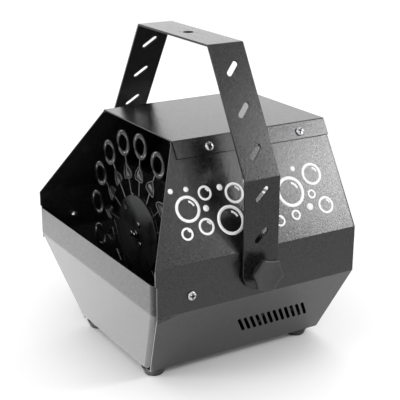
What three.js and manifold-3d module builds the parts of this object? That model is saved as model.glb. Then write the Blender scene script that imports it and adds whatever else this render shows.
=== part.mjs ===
// Bubble machine: a folded sheet-metal case with a fluid tank and a wand wheel in front,
// a fan and the mains parts behind, and a slotted hanging bracket clamped by two knobs.
// Millimetres. +Z is up, the bubble opening faces -Y, and the origin lies on the
// surface the feet stand on, below the centre of the whole machine.

import * as THREE from 'three';
import { mergeVertices } from 'three/addons/utils/BufferGeometryUtils.js';
import Module from 'manifold-3d';

const wasm = await Module();
wasm.setup();

// ---------------------------------------------------------------- driving dimensions

const SHEET = 1.2;             // thickness of every case panel
const GAP = 0.3;               // clearance between neighbouring pieces
const TOUCH = 0.1;             // clearance under a head, nut or foot that bears on a panel

// The case is a six-sided section, widest at a vertical band.
const FOOT_HEIGHT = 8;
const BASE_Z = FOOT_HEIGHT;
const BAND_LOW_Z = 90.1;
const BAND_HIGH_Z = 135.6;
const TOP_Z = 231.1;
const BASE_HALF = 72.6;
const BAND_HALF = 125;
const TOP_HALF = 67;
const SHELL_TOP_Z = TOP_Z - SHEET - GAP;

// Front and rear of the case, seen from the side.
const FRONT_BASE_Y = -91.7;
const FRONT_BAND_Y = -112.5;
const FRONT_TOP_Y = -62.7;
const REAR_Y = 108;
const LIP_Z = 119.3;           // top edge of the tank's front wall
const FLANGE = 12;             // width of the folded joining flanges
const UNDER_FLANGE_X = 44;     // inner edge of the side shells' folded-in top and bottom
const COVER_FLANGE = 17;       // how far the cover folds down over each side

// Fluid tank and the plate behind it.
const TANK_HALF = 122.4;
const TANK_REAR_Y = -26;
const TANK_REAR_WALL_Z = 100;
const MOTOR_PLATE_Y = -22.5;
const MOTOR_PLATE_TOP_Z = 166;
const MOTOR_PLATE_SHELF = 9;

// Wand wheel, turning about an axis along Y.
const HUB_Z = 119.9;
const WHEEL_Y = -61.6;
const HUB_RADIUS = 39.5;
const HUB_DISC = 1.5;
const HUB_HALF_DEPTH = 2.3;
const WAND_COUNT = 16;
const FIRST_WAND_DEG = 3.9;
const RING_CENTRE = 90.7;
const RING_OUTER = 13.4;
const RING_INNER = 7.8;
const RING_DEPTH = 3.4;
const STEM_WIDTH = 2;
const WAND_ROOT_DEPTH = 1.2;
const WAND_ROOT_INNER = 20;
const PADDLE_TIP = 70.8;
const PADDLE_SHOULDER = 58.5;
const PADDLE_BASE = 55.2;
const PADDLE_HALF = 8.7;
const PADDLE_DEPTH = 3;
const SHAFT_RADIUS = 2.5;
const MOTOR_RADIUS = 25;
const MOTOR_DEPTH = 21;
const MOTOR_BOSS_RADIUS = 6;
const HUB_SCREW_CIRCLE = 11.4;
const HUB_SCREW_DEGREES = [20, 146, 257];
const HUB_SCREW = { radius: 3.1, height: 1.3, shank: 1.5, length: 6 };
const SHAFT_NUT = { radius: 4.2, height: 1.8 };

// Fan and its partition.
const FAN_PLATE_Y = 20;
const FAN_Z = 179;
const FAN_SIDE = 92;
const FAN_DEPTH = 25;
const FAN_BORE = 43.6;
const FAN_BLADES = 7;
const FAN_HUB_RADIUS = 17.5;
const FAN_ARM = 2;             // thickness of the arms that carry the fan's motor

// Hanging bracket.
const PIVOT_Y = -5.3;
const PIVOT_Z = 115.4;
const BRACKET_HALF = 129.7;    // outer face of each upright arm
const BRACKET_WIDTH = 38;
const BRACKET_SHEET = 2;
const BRACKET_BEND_Z = 203.1;
const BRACKET_TOP_Z = 314.2;
const BRACKET_TOP_HALF = 65.6;
const SLOT_COUNT = 5;
const SLOT_SPACING = 39.4;
const SLOT_FIRST = 34.2;       // first slot above the pivot
const SLOT_HALF_WIDTH = 2.6;
const SLOT_LENGTH = 12.4;      // between the centres of its round ends
const HOOK_HOLE_RADIUS = 5.2;

// Clamp knobs.
const STUD_RADIUS = 4;
const STUD_HOLE = 4.6;
const KNOB_FACE_X = 144;
const KNOB_HEAD = 5.2;
const KNOB_LOBE_RADIUS = 16.5;
const KNOB_WAIST_RADIUS = 13;

// Screws with domed heads.
const SCREW_HEAD_RADIUS = 4.4;
const SCREW_HEAD_HEIGHT = 2.4;
const SCREW_SHANK_RADIUS = 1.7;
const SCREW_HOLE = 2.2;
const COVER_SCREW_DOWN = 9.9;  // down the slope from the top corner
const COVER_SCREW_Y = [-27.3, 75.5];
const SIDE_SCREW = { y: -76, z: 105 };
const REAR_SCREWS = [[-119, 125], [119, 125], [-60, 14.5], [60, 14.5]];

// Air slots.
const VENT_COUNT = 12;
const VENT_PITCH = 6.74;
const VENT_HALF_WIDTH = 1.6;
const VENT_FIRST_Y = -10;
const VENT_SLANT = 13;
const VENT_DOWN = [40.6, 62];  // down the lower slope from the band
const REAR_VENT_Z = [160, 186];

// Feet and mains parts.
const FOOT_X = 60;
const FOOT_Y = [-79, 90];
const FOOT_TOP_RADIUS = 12.2;
const FOOT_BASE_RADIUS = 9.4;
const INLET = { x: -30, z: 66, width: 30, height: 47, rim: 2 };
const INLET_FLANGE = 3;
const INLET_DEPTH = 22;        // behind the rear face
const SOCKET = { half: 12, low: -19, high: -2, chamfer: [4, 5], depth: 14 };
const DRAWER = { width: 22, height: 13, above: 10.5, depth: 20 };
const SWITCH = { x: 26, z: 66, width: 15, height: 21, rim: 1.4 };
const SWITCH_FLANGE = 2.3;
const SWITCH_DEPTH = 16;
const SWITCH_WELL = { width: 10.4, height: 17.2, depth: 7 };
const ROCKER_TILT = 10;        // degrees, its lower half pressed in

// ---------------------------------------------------------------- solids and outlines

const radians = THREE.MathUtils.degToRad;

function toManifold(geometry) {
  const bare = geometry.clone();
  bare.deleteAttribute('normal');
  bare.deleteAttribute('uv');
  const merged = mergeVertices(bare);
  return new wasm.Manifold(new wasm.Mesh({
    numProp: 3,
    vertProperties: new Float32Array(merged.attributes.position.array),
    triVerts: new Uint32Array(merged.index.array),
  }));
}

function toGeometry(solid) {
  const mesh = solid.getMesh();
  const geometry = new THREE.BufferGeometry();
  geometry.setAttribute('position', new THREE.BufferAttribute(mesh.vertProperties, 3));
  geometry.setIndex(new THREE.BufferAttribute(mesh.triVerts, 1));
  geometry.computeVertexNormals();
  return geometry;
}

function join(first, ...others) {
  return toGeometry(others.reduce((solid, other) => solid.add(toManifold(other)), toManifold(first)));
}

function cut(first, ...tools) {
  return toGeometry(tools.reduce((solid, tool) => solid.subtract(toManifold(tool)), toManifold(first)));
}

function keep(first, ...limits) {
  return toGeometry(limits.reduce((solid, limit) => solid.intersect(toManifold(limit)), toManifold(first)));
}

// The same geometry on the other side, with its faces turned round again.
function mirrored(geometry) {
  const copy = geometry.clone().scale(-1, 1, 1);
  const index = copy.index.array;
  for (let i = 0; i < index.length; i += 3) {
    [index[i], index[i + 1]] = [index[i + 1], index[i]];
  }
  copy.computeVertexNormals();
  return copy;
}

// The same for a plain extrusion, whose triangles have no index yet.
function mirroredTool(tool) {
  return mirrored(toGeometry(toManifold(tool)));
}

function outline(points) {
  return new THREE.Shape(points.map(([a, b]) => new THREE.Vector2(a, b)));
}

function circle(radius, centre = [0, 0]) {
  return new THREE.Shape().absarc(centre[0], centre[1], radius, 0, 2 * Math.PI, false);
}

function rectangle(low, high) {
  return outline([[low[0], low[1]], [high[0], low[1]], [high[0], high[1]], [low[0], high[1]]]);
}

// A slot with round ends between two points.
function slot(start, end, halfWidth) {
  const angle = Math.atan2(end[1] - start[1], end[0] - start[0]);
  const shape = new THREE.Shape();
  shape.absarc(end[0], end[1], halfWidth, angle - Math.PI / 2, angle + Math.PI / 2, false);
  shape.absarc(start[0], start[1], halfWidth, angle + Math.PI / 2, angle + 1.5 * Math.PI, false);
  return shape;
}

function extrude(shape, depth, curveSegments) {
  return new THREE.ExtrudeGeometry(shape, { depth, bevelEnabled: false, curveSegments });
}

// An outline in X and Z, filled from one Y to another.
function prismY(shape, low, high, curveSegments = 6) {
  return extrude(shape, high - low, curveSegments).rotateX(Math.PI / 2).translate(0, high, 0);
}

// An outline in Y and Z, filled from one X to another.
function prismX(shape, low, high, curveSegments = 6) {
  const turn = new THREE.Matrix4().makeBasis(
    new THREE.Vector3(0, 1, 0), new THREE.Vector3(0, 0, 1), new THREE.Vector3(1, 0, 0));
  return extrude(shape, high - low, curveSegments).applyMatrix4(turn).translate(low, 0, 0);
}

// An outline in X and Y, filled from one Z to another.
function prismZ(shape, low, high, curveSegments = 6) {
  return extrude(shape, high - low, curveSegments).translate(0, 0, low);
}

function block(low, high) {
  return prismZ(rectangle(low, high), low[2], high[2]);
}

// A block with a given centre in X and Z, from one Y to another.
function panelBlock(centre, width, height, low, high) {
  const [halfWidth, halfHeight] = [width / 2, height / 2];
  return block(
    [centre.x - halfWidth, low, centre.z - halfHeight],
    [centre.x + halfWidth, high, centre.z + halfHeight]);
}

// A counter-clockwise convex outline moved inwards; a negative distance moves it outwards.
function inset(points, distance) {
  const moved = [];
  points.forEach((point, i) => {
    const before = points[(i + points.length - 1) % points.length];
    const after = points[(i + 1) % points.length];
    const inward = (from, to) => {
      const length = Math.hypot(to[0] - from[0], to[1] - from[1]);
      return [-(to[1] - from[1]) / length, (to[0] - from[0]) / length];
    };
    const [a, b] = [inward(before, point), inward(point, after)];
    const scale = distance / (1 + a[0] * b[0] + a[1] * b[1]);
    moved.push([point[0] + scale * (a[0] + b[0]), point[1] + scale * (a[1] + b[1])]);
  });
  return moved;
}

// ---------------------------------------------------------------- the case's own outlines

const SLOPE_X = (BAND_HALF - TOP_HALF) / (TOP_Z - BAND_HIGH_Z);
const UPPER_TILT = Math.atan(SLOPE_X);
const LOWER_TILT = Math.atan2(BAND_HALF - BASE_HALF, BAND_LOW_Z - BASE_Z);
const SHELL_TOP_HALF = BAND_HALF - SLOPE_X * (SHELL_TOP_Z - BAND_HIGH_Z);

// The section of the side shells in X and Z.
const SECTION = [
  [-BASE_HALF, BASE_Z], [BASE_HALF, BASE_Z],
  [BAND_HALF, BAND_LOW_Z], [BAND_HALF, BAND_HIGH_Z],
  [SHELL_TOP_HALF, SHELL_TOP_Z], [-SHELL_TOP_HALF, SHELL_TOP_Z],
  [-BAND_HALF, BAND_HIGH_Z], [-BAND_HALF, BAND_LOW_Z],
];

// The side view in Y and Z, as far back as a given plane.
function sideView(rearY) {
  return [
    [FRONT_BASE_Y, BASE_Z], [rearY, BASE_Z], [rearY, TOP_Z], [FRONT_TOP_Y, TOP_Z],
    [FRONT_BAND_Y, BAND_HIGH_Z], [FRONT_BAND_Y, BAND_LOW_Z],
  ];
}

const SHELL_REAR_Y = REAR_Y - SHEET - GAP;

// A point on the outside of the upper slope, measured down from the cover's corner.
function onUpperSlope(down) {
  const corner = TOP_HALF + (SHEET + GAP) / Math.cos(UPPER_TILT);
  return [corner + down * Math.sin(UPPER_TILT), TOP_Z - down * Math.cos(UPPER_TILT)];
}

// ---------------------------------------------------------------- side shells

function ventSlots() {
  const tools = [];
  for (let i = 0; i < VENT_COUNT; i += 1) {
    const y = VENT_FIRST_Y + i * VENT_PITCH;
    const shape = slot([y, -VENT_DOWN[0]], [y + VENT_SLANT, -VENT_DOWN[1]], VENT_HALF_WIDTH);
    const tool = prismX(shape, -5, 5, 3);
    tool.rotateY(LOWER_TILT).translate(BAND_HALF, 0, BAND_LOW_Z);
    tools.push(tool);
  }
  return tools;
}

function coverScrewHole(y) {
  const [x, z] = onUpperSlope(COVER_SCREW_DOWN);
  const hole = prismX(circle(SCREW_HOLE), -9, 9, 5);
  return hole.rotateY(-UPPER_TILT).translate(x, y, z);
}

function rightShell() {
  const wall = cut(
    prismY(outline(SECTION), FRONT_BAND_Y, SHELL_REAR_Y),
    prismY(outline(inset(SECTION, SHEET)), FRONT_BAND_Y - 1, SHELL_REAR_Y - SHEET));
  const rearReturn = cut(wall, prismY(outline(inset(SECTION, FLANGE)), SHELL_REAR_Y - 5, SHELL_REAR_Y + 1));
  const half = keep(
    rearReturn,
    prismX(outline(sideView(SHELL_REAR_Y)), UNDER_FLANGE_X, BAND_HALF + 1));
  const weldNut = prismX(circle(7, [PIVOT_Y, PIVOT_Z]), BAND_HALF - SHEET - 7, BAND_HALF - SHEET + 0.2, 3);
  const holes = [
    prismX(circle(STUD_HOLE, [PIVOT_Y, PIVOT_Z]), 100, 130, 6),
    prismX(circle(SCREW_HOLE, [SIDE_SCREW.y, SIDE_SCREW.z]), 120, 130, 5),
    ...COVER_SCREW_Y.map(coverScrewHole),
    ...ventSlots(),
    ...REAR_SCREWS.filter(([x]) => x > 0).map(
      (centre) => prismY(circle(SCREW_HOLE, centre), SHELL_REAR_Y - 5, SHELL_REAR_Y + 1, 5)),
  ];
  return cut(join(half, weldNut), ...holes);
}

// ---------------------------------------------------------------- cover, rear panel, base

function topCover() {
  const folded = cut(
    prismY(outline(inset(SECTION, -SHEET - GAP)), FRONT_TOP_Y, REAR_Y),
    prismY(outline(inset(SECTION, -GAP)), FRONT_TOP_Y - 1, REAR_Y + 1));
  const flangeEndZ = TOP_Z - COVER_FLANGE * Math.cos(UPPER_TILT);
  const upper = keep(folded, block([-110, FRONT_TOP_Y, flangeEndZ], [110, REAR_Y, TOP_Z + 1]));
  const holes = COVER_SCREW_Y.map(coverScrewHole);
  return cut(upper, ...holes, ...holes.map(mirroredTool));
}

function rearVents() {
  const tools = [];
  for (let i = 0; i < VENT_COUNT; i += 1) {
    const x = (i - (VENT_COUNT - 1) / 2) * VENT_PITCH;
    const shape = slot([x, REAR_VENT_Z[0]], [x, REAR_VENT_Z[1]], VENT_HALF_WIDTH);
    tools.push(prismY(shape, REAR_Y - 5, REAR_Y + 5, 3));
  }
  return tools;
}

function rearPanel() {
  const plate = prismY(outline(inset(SECTION, GAP)), REAR_Y - SHEET, REAR_Y);
  const cutOut = ({ width, height, rim, ...centre }) => panelBlock(
    centre, width - 2 * rim + 2 * GAP, height - 2 * rim + 2 * GAP, REAR_Y - 5, REAR_Y + 5);
  const screwHoles = REAR_SCREWS.map(
    (centre) => prismY(circle(SCREW_HOLE, centre), REAR_Y - 5, REAR_Y + 5, 5));
  return cut(plate, cutOut(INLET), cutOut(SWITCH), ...rearVents(), ...screwHoles);
}

const BASE_PLATE_TOP_Z = BASE_Z + 2 * SHEET + GAP;

function basePlate() {
  const plateFrontY = MOTOR_PLATE_Y + 4.5;
  return block([-BASE_HALF + 2, plateFrontY, BASE_PLATE_TOP_Z - SHEET],
    [BASE_HALF - 2, SHELL_REAR_Y - 2, BASE_PLATE_TOP_Z]);
}

function foot() {
  const height = FOOT_HEIGHT - TOUCH;
  const cone = new THREE.CylinderGeometry(FOOT_TOP_RADIUS, FOOT_BASE_RADIUS, height, 28);
  return cone.rotateX(Math.PI / 2).translate(0, 0, height / 2);
}

// ---------------------------------------------------------------- tank and plates inside

// The tank stands on the side shells' folded-in edges, so its slopes run on to that height.
function tankSection() {
  const extra = 5;
  const run = (extra * (BAND_HALF - BASE_HALF)) / (BAND_LOW_Z - BASE_Z);
  const deeper = SECTION.map(([x, z]) => (z === BASE_Z ? [x - Math.sign(x) * run, z - extra] : [x, z]));
  return inset(deeper, BAND_HALF - TANK_HALF);
}

function tankTray() {
  const section = tankSection();
  const floorZ = BASE_Z + SHEET + GAP;
  const view = sideView(TANK_REAR_Y);
  const outer = keep(
    prismY(outline(section), FRONT_BAND_Y, TANK_REAR_Y),
    prismX(outline(view), -BAND_HALF, BAND_HALF),
    block([-BAND_HALF, FRONT_BAND_Y - 1, floorZ], [BAND_HALF, TANK_REAR_Y + 1, LIP_Z]));
  const inner = keep(
    prismY(outline(inset(section, SHEET)), FRONT_BAND_Y, TANK_REAR_Y),
    prismX(outline(inset(view, SHEET)), -BAND_HALF, BAND_HALF),
    block([-BAND_HALF, FRONT_BAND_Y, floorZ + SHEET], [BAND_HALF, TANK_REAR_Y, LIP_Z + 9]));
  const sideHole = prismX(circle(SCREW_HOLE, [SIDE_SCREW.y, SIDE_SCREW.z]), -130, 130, 5);
  const rearNotch = block([-130, TANK_REAR_Y - 2, TANK_REAR_WALL_Z], [130, TANK_REAR_Y + 1, LIP_Z + 1]);
  return cut(outer, inner, sideHole, rearNotch);
}

function motorPlate() {
  const section = inset(SECTION, SHEET + GAP);
  const standing = keep(
    prismY(outline(section), MOTOR_PLATE_Y, MOTOR_PLATE_Y + SHEET),
    block([-130, -60, BASE_Z + SHEET + GAP], [130, 0, MOTOR_PLATE_TOP_Z]));
  const shelf = keep(
    prismY(outline(section), MOTOR_PLATE_Y - MOTOR_PLATE_SHELF, MOTOR_PLATE_Y + 0.2),
    block([-130, -60, MOTOR_PLATE_TOP_Z - SHEET], [130, 0, MOTOR_PLATE_TOP_Z]));
  return cut(join(standing, shelf), prismY(circle(MOTOR_BOSS_RADIUS + 1, [0, HUB_Z]), -60, 0, 8));
}

function fanPlate() {
  const whole = prismY(outline(inset(SECTION, SHEET + GAP)), FAN_PLATE_Y, FAN_PLATE_Y + SHEET);
  const above = keep(whole, block([-130, 0, BASE_PLATE_TOP_Z + GAP], [130, 60, TOP_Z]));
  return cut(above, prismY(circle(FAN_BORE, [0, FAN_Z]), 0, 60, 12));
}

// ---------------------------------------------------------------- fan

const FAN_FRONT_Y = FAN_PLATE_Y + SHEET + GAP;
const FAN_REAR_Y = FAN_FRONT_Y + FAN_DEPTH;

function fanFrame() {
  const half = FAN_SIDE / 2;
  const box = block([-half, FAN_FRONT_Y, FAN_Z - half], [half, FAN_REAR_Y, FAN_Z + half]);
  const ring = cut(box, prismY(circle(FAN_BORE, [0, FAN_Z]), 0, 60, 12));
  const hub = prismY(circle(FAN_HUB_RADIUS + 1.5, [0, FAN_Z]), FAN_REAR_Y - FAN_ARM, FAN_REAR_Y, 6);
  const arms = [45, 135].map((angle) => {
    const arm = block([-FAN_BORE - 1, FAN_REAR_Y - FAN_ARM, -2.5], [FAN_BORE + 1, FAN_REAR_Y, 2.5]);
    return arm.rotateY(radians(angle)).translate(0, 0, FAN_Z);
  });
  const holes = [[-1, -1], [1, -1], [-1, 1], [1, 1]].map(([sx, sz]) => prismY(
    circle(SCREW_HOLE, [sx * (half - 5), FAN_Z + sz * (half - 5)]), 0, 60, 3));
  return cut(join(ring, hub, ...arms), ...holes);
}

function fanRotor() {
  const middleY = (FAN_FRONT_Y + FAN_REAR_Y) / 2 - 0.5;
  const hub = prismY(circle(FAN_HUB_RADIUS), -10, 10, 6);
  const blades = Array.from({ length: FAN_BLADES }, (_, i) => {
    const blade = new THREE.BoxGeometry(24, 1.6, 26).rotateZ(radians(38)).translate(0, 0, 28.5);
    return blade.rotateY((2 * Math.PI * i) / FAN_BLADES);
  });
  const limit = prismY(circle(FAN_BORE - 1), -10, 10, 12);
  return keep(join(hub, ...blades), limit).translate(0, middleY, FAN_Z);
}

// ---------------------------------------------------------------- wheel drive and hub

function gearMotor() {
  const plateRearY = MOTOR_PLATE_Y + SHEET + GAP;
  const can = prismY(circle(MOTOR_RADIUS, [0, HUB_Z]), plateRearY, plateRearY + MOTOR_DEPTH, 12);
  const boss = prismY(circle(MOTOR_BOSS_RADIUS, [0, HUB_Z]), MOTOR_PLATE_Y - 2, plateRearY + 1, 5);
  const bore = prismY(circle(SHAFT_RADIUS + GAP, [0, HUB_Z]), MOTOR_PLATE_Y - 5, MOTOR_PLATE_Y + 9, 5);
  return cut(join(can, boss), bore);
}

const HUB_FRONT_Y = WHEEL_Y - HUB_HALF_DEPTH;
const HUB_REAR_Y = WHEEL_Y + HUB_HALF_DEPTH;

function polar(radius, degrees) {
  return [radius * Math.sin(radians(degrees)), HUB_Z + radius * Math.cos(radians(degrees))];
}

function hubDisc(low, high) {
  const holes = HUB_SCREW_DEGREES.map((degrees) => prismY(
    circle(1.8, polar(HUB_SCREW_CIRCLE, degrees)), low - 1, high + 1, 4));
  const bore = prismY(circle(SHAFT_RADIUS + GAP, [0, HUB_Z]), low - 1, high + 12, 5);
  return { disc: prismY(circle(HUB_RADIUS, [0, HUB_Z]), low, high, 16), holes, bore };
}

function hubFrontDisc() {
  const { disc, holes, bore } = hubDisc(HUB_FRONT_Y, HUB_FRONT_Y + HUB_DISC);
  return cut(disc, ...holes, bore);
}

function hubRearDisc() {
  const { disc, holes, bore } = hubDisc(HUB_REAR_Y - HUB_DISC, HUB_REAR_Y);
  const collar = prismY(circle(7, [0, HUB_Z]), HUB_REAR_Y - 0.5, HUB_REAR_Y + 9, 6);
  return cut(join(disc, collar), ...holes, bore);
}

function hubScrew() {
  return screw(HUB_SCREW.radius, HUB_SCREW.height, HUB_SCREW.shank, HUB_SCREW.length);
}

function wheelShaft() {
  return prismY(circle(SHAFT_RADIUS, [0, HUB_Z]), HUB_FRONT_Y - 4, MOTOR_PLATE_Y + 8, 5);
}

function shaftNut() {
  const nut = prismY(circle(SHAFT_NUT.radius), -SHAFT_NUT.height, 0, 3);
  return cut(nut, prismY(circle(SHAFT_RADIUS + GAP), -5, 5, 5));
}

// ---------------------------------------------------------------- one wand, pointing up

function wand() {
  const ring = circle(RING_OUTER, [0, RING_CENTRE]);
  ring.holes.push(new THREE.Path().absarc(0, RING_CENTRE, RING_INNER, 0, 2 * Math.PI, true));
  const loop = prismY(ring, -RING_DEPTH / 2, RING_DEPTH / 2, 9);
  const shoulder = PADDLE_SHOULDER + 2.5;
  const paddle = prismY(outline([
    [0, PADDLE_BASE], [PADDLE_HALF, PADDLE_SHOULDER], [PADDLE_HALF - 0.6, shoulder],
    [PADDLE_HALF * 0.35, PADDLE_TIP - 3], [0, PADDLE_TIP], [-PADDLE_HALF * 0.35, PADDLE_TIP - 3],
    [-PADDLE_HALF + 0.6, shoulder], [-PADDLE_HALF, PADDLE_SHOULDER],
  ]), -PADDLE_DEPTH / 2, PADDLE_DEPTH / 2);
  const half = STEM_WIDTH / 2;
  const stem = block([-half, -half, HUB_RADIUS + 1], [half, half, RING_CENTRE - RING_INNER - 2]);
  const root = block(
    [-half, -WAND_ROOT_DEPTH / 2, WAND_ROOT_INNER],
    [half, WAND_ROOT_DEPTH / 2, HUB_RADIUS + 3]);
  const tab = block(
    [-2 * half, -WAND_ROOT_DEPTH / 2, WAND_ROOT_INNER],
    [2 * half, WAND_ROOT_DEPTH / 2, WAND_ROOT_INNER + 5]);
  return join(loop, paddle, stem, root, tab);
}

// ---------------------------------------------------------------- screws

// A screw along Y: its head rises towards -Y from y = 0 and its shank runs to +Y.
function screw(headRadius, headHeight, shankRadius, length) {
  const profile = [
    [0, -headHeight], [headRadius * 0.55, -headHeight * 0.92], [headRadius * 0.88, -headHeight * 0.6],
    [headRadius, -headHeight * 0.15], [headRadius, 0], [shankRadius, 0], [shankRadius, length], [0, length],
  ].map(([radius, y]) => new THREE.Vector2(radius, y));
  return new THREE.LatheGeometry(profile, 14);
}

function caseScrew() {
  return screw(SCREW_HEAD_RADIUS, SCREW_HEAD_HEIGHT, SCREW_SHANK_RADIUS, 7);
}

// ---------------------------------------------------------------- bracket

const ARM_TILT = Math.atan2(BRACKET_HALF - BRACKET_TOP_HALF, BRACKET_TOP_Z - BRACKET_BEND_Z);

// Slots rise towards +Y at 45 degrees; heights are along the arm from its bend.
function bracketSlots() {
  const half = (SLOT_LENGTH / 2) * Math.SQRT1_2;
  const at = (height) => slot(
    [PIVOT_Y - half, height - half], [PIVOT_Y + half, height + half], SLOT_HALF_WIDTH);
  const bendHeight = BRACKET_BEND_Z - PIVOT_Z;
  const tools = [];
  for (let i = 0; i < SLOT_COUNT; i += 1) {
    const height = SLOT_FIRST + i * SLOT_SPACING - bendHeight;
    const tool = prismX(at(height), -6, 6, 4);
    if (height > 0) tool.rotateY(-ARM_TILT);
    tool.translate(BRACKET_HALF, 0, BRACKET_BEND_Z);
    tools.push(tool);
    tools.push(mirroredTool(tool));
  }
  return tools;
}

function handleBracket() {
  const bottomZ = PIVOT_Z - BRACKET_WIDTH / 2;
  const path = [
    [BRACKET_HALF, bottomZ], [BRACKET_HALF, BRACKET_BEND_Z], [BRACKET_TOP_HALF, BRACKET_TOP_Z],
    [-BRACKET_TOP_HALF, BRACKET_TOP_Z], [-BRACKET_HALF, BRACKET_BEND_Z], [-BRACKET_HALF, bottomZ],
  ];
  const halfWidth = BRACKET_WIDTH / 2;
  const solid = prismY(outline(path), PIVOT_Y - halfWidth, PIVOT_Y + halfWidth);
  const innerPath = inset(path, BRACKET_SHEET).map(([x, z]) => [x, z < PIVOT_Z ? bottomZ - 1 : z]);
  const hollow = prismY(outline(innerPath), PIVOT_Y - halfWidth - 1, PIVOT_Y + halfWidth + 1);
  const endShape = new THREE.Shape();
  endShape.moveTo(PIVOT_Y + halfWidth, PIVOT_Z);
  endShape.lineTo(PIVOT_Y + halfWidth, BRACKET_TOP_Z + 1);
  endShape.lineTo(PIVOT_Y - halfWidth, BRACKET_TOP_Z + 1);
  endShape.lineTo(PIVOT_Y - halfWidth, PIVOT_Z);
  endShape.absarc(PIVOT_Y, PIVOT_Z, halfWidth, Math.PI, 2 * Math.PI, false);
  const strip = keep(cut(solid, hollow), prismX(endShape, -150, 150, 12));
  const studHole = prismX(circle(STUD_HOLE, [PIVOT_Y, PIVOT_Z]), -150, 150, 6);
  const hookHole = prismZ(circle(HOOK_HOLE_RADIUS, [0, PIVOT_Y]), BRACKET_TOP_Z - 9, BRACKET_TOP_Z + 9, 8);
  return cut(strip, studHole, hookHole, ...bracketSlots());
}

// ---------------------------------------------------------------- clamp knobs, on the +X side

// Six lobes joined by shallow hollows.
function lobedOutline() {
  const shape = new THREE.Shape();
  const step = radians(60);
  const lobe = (i) => -radians(10) + i * step;
  const lobeCentre = KNOB_LOBE_RADIUS - 2;
  for (let i = 0; i < 6; i += 1) {
    const centre = [lobeCentre * Math.cos(lobe(i)), lobeCentre * Math.sin(lobe(i))];
    shape.absarc(centre[0], centre[1], 2, lobe(i) - radians(40), lobe(i) + radians(40), false);
    const middle = lobe(i) + step / 2;
    const next = lobe(i + 1) - radians(40);
    const end = [
      lobeCentre * Math.cos(lobe(i + 1)) + 2 * Math.cos(next),
      lobeCentre * Math.sin(lobe(i + 1)) + 2 * Math.sin(next),
    ];
    shape.quadraticCurveTo(
      KNOB_WAIST_RADIUS * Math.cos(middle), KNOB_WAIST_RADIUS * Math.sin(middle), end[0], end[1]);
  }
  return shape;
}

function knob() {
  const headBackX = KNOB_FACE_X - KNOB_HEAD;
  const head = prismX(lobedOutline(), headBackX, KNOB_FACE_X, 3);
  const neckProfile = [
    [0, BRACKET_HALF + GAP], [8.5, BRACKET_HALF + GAP], [8.5, headBackX - 3], [11.5, headBackX + 0.5],
    [0, headBackX + 0.5],
  ].map(([radius, x]) => new THREE.Vector2(radius, x));
  const neck = new THREE.LatheGeometry(neckProfile, 24).rotateZ(-Math.PI / 2);
  const bore = prismX(circle(STUD_RADIUS + GAP), BRACKET_HALF - 1, KNOB_FACE_X - 3, 6);
  return cut(join(head, neck), bore).translate(0, PIVOT_Y, PIVOT_Z);
}

function stud() {
  const innerX = BAND_HALF - SHEET - 12;
  return prismX(circle(STUD_RADIUS, [PIVOT_Y, PIVOT_Z]), innerX, KNOB_FACE_X - 3 - GAP, 6);
}

function frictionWasher() {
  const washer = circle(13, [PIVOT_Y, PIVOT_Z]);
  washer.holes.push(new THREE.Path().absarc(PIVOT_Y, PIVOT_Z, STUD_HOLE, 0, 2 * Math.PI, true));
  return prismX(washer, BAND_HALF + GAP, BRACKET_HALF - BRACKET_SHEET - GAP, 6);
}

// ---------------------------------------------------------------- mains parts on the rear

function drawerCentre() {
  return { x: INLET.x, z: INLET.z + DRAWER.above };
}

// The socket's outline: a rectangle with its two upper corners cut off.
function socketOutline() {
  const { half, low, high, chamfer } = SOCKET;
  const points = [
    [-half, low], [half, low], [half, high - chamfer[1]],
    [half - chamfer[0], high], [chamfer[0] - half, high], [-half, high - chamfer[1]],
  ];
  return outline(points.map(([x, z]) => [INLET.x + x, INLET.z + z]));
}

function powerInlet() {
  const { width, height, rim } = INLET;
  return cut(
    join(
      panelBlock(INLET, width, height, REAR_Y + GAP, REAR_Y + INLET_FLANGE),
      panelBlock(INLET, width - 2 * rim, height - 2 * rim, REAR_Y - INLET_DEPTH, REAR_Y + 1)),
    prismY(socketOutline(), REAR_Y - SOCKET.depth, REAR_Y + 9),
    panelBlock(drawerCentre(), DRAWER.width, DRAWER.height, REAR_Y - DRAWER.depth, REAR_Y + 9));
}

function fuseDrawer() {
  const { width, height, depth } = DRAWER;
  return panelBlock(
    drawerCentre(), width - 2 * GAP, height - 2 * GAP, REAR_Y - depth + 1, REAR_Y + INLET_FLANGE);
}

function switchFrame() {
  const { width, height, rim } = SWITCH;
  return cut(
    join(
      panelBlock(SWITCH, width, height, REAR_Y + GAP, REAR_Y + SWITCH_FLANGE),
      panelBlock(SWITCH, width - 2 * rim, height - 2 * rim, REAR_Y - SWITCH_DEPTH, REAR_Y + 1)),
    panelBlock(SWITCH, SWITCH_WELL.width, SWITCH_WELL.height, REAR_Y - SWITCH_WELL.depth, REAR_Y + 9));
}

function switchRocker() {
  const halfWidth = SWITCH_WELL.width / 2 - GAP;
  const half = SWITCH_WELL.height / 2 - 0.5;
  const profile = outline([
    [-5, -4], [2.2, -half], [3, 0.2 - half], [1.6, 0], [3, half - 0.2], [2.2, half], [-5, 4],
  ]);
  const rocker = prismX(profile, -halfWidth, halfWidth).rotateX(-radians(ROCKER_TILT));
  return rocker.translate(SWITCH.x, REAR_Y, SWITCH.z);
}

function terminalBlock() {
  const baseZ = BASE_PLATE_TOP_Z + GAP;
  const bar = block([-24, 74, baseZ], [24, 92, baseZ + 9]);
  const bosses = [-18, -6, 6, 18].map((x) => prismZ(circle(4.5, [x, 83]), baseZ + 8, baseZ + 15, 4));
  return join(bar, ...bosses);
}

// ---------------------------------------------------------------- assembly

const machine = new THREE.Group();

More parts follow.
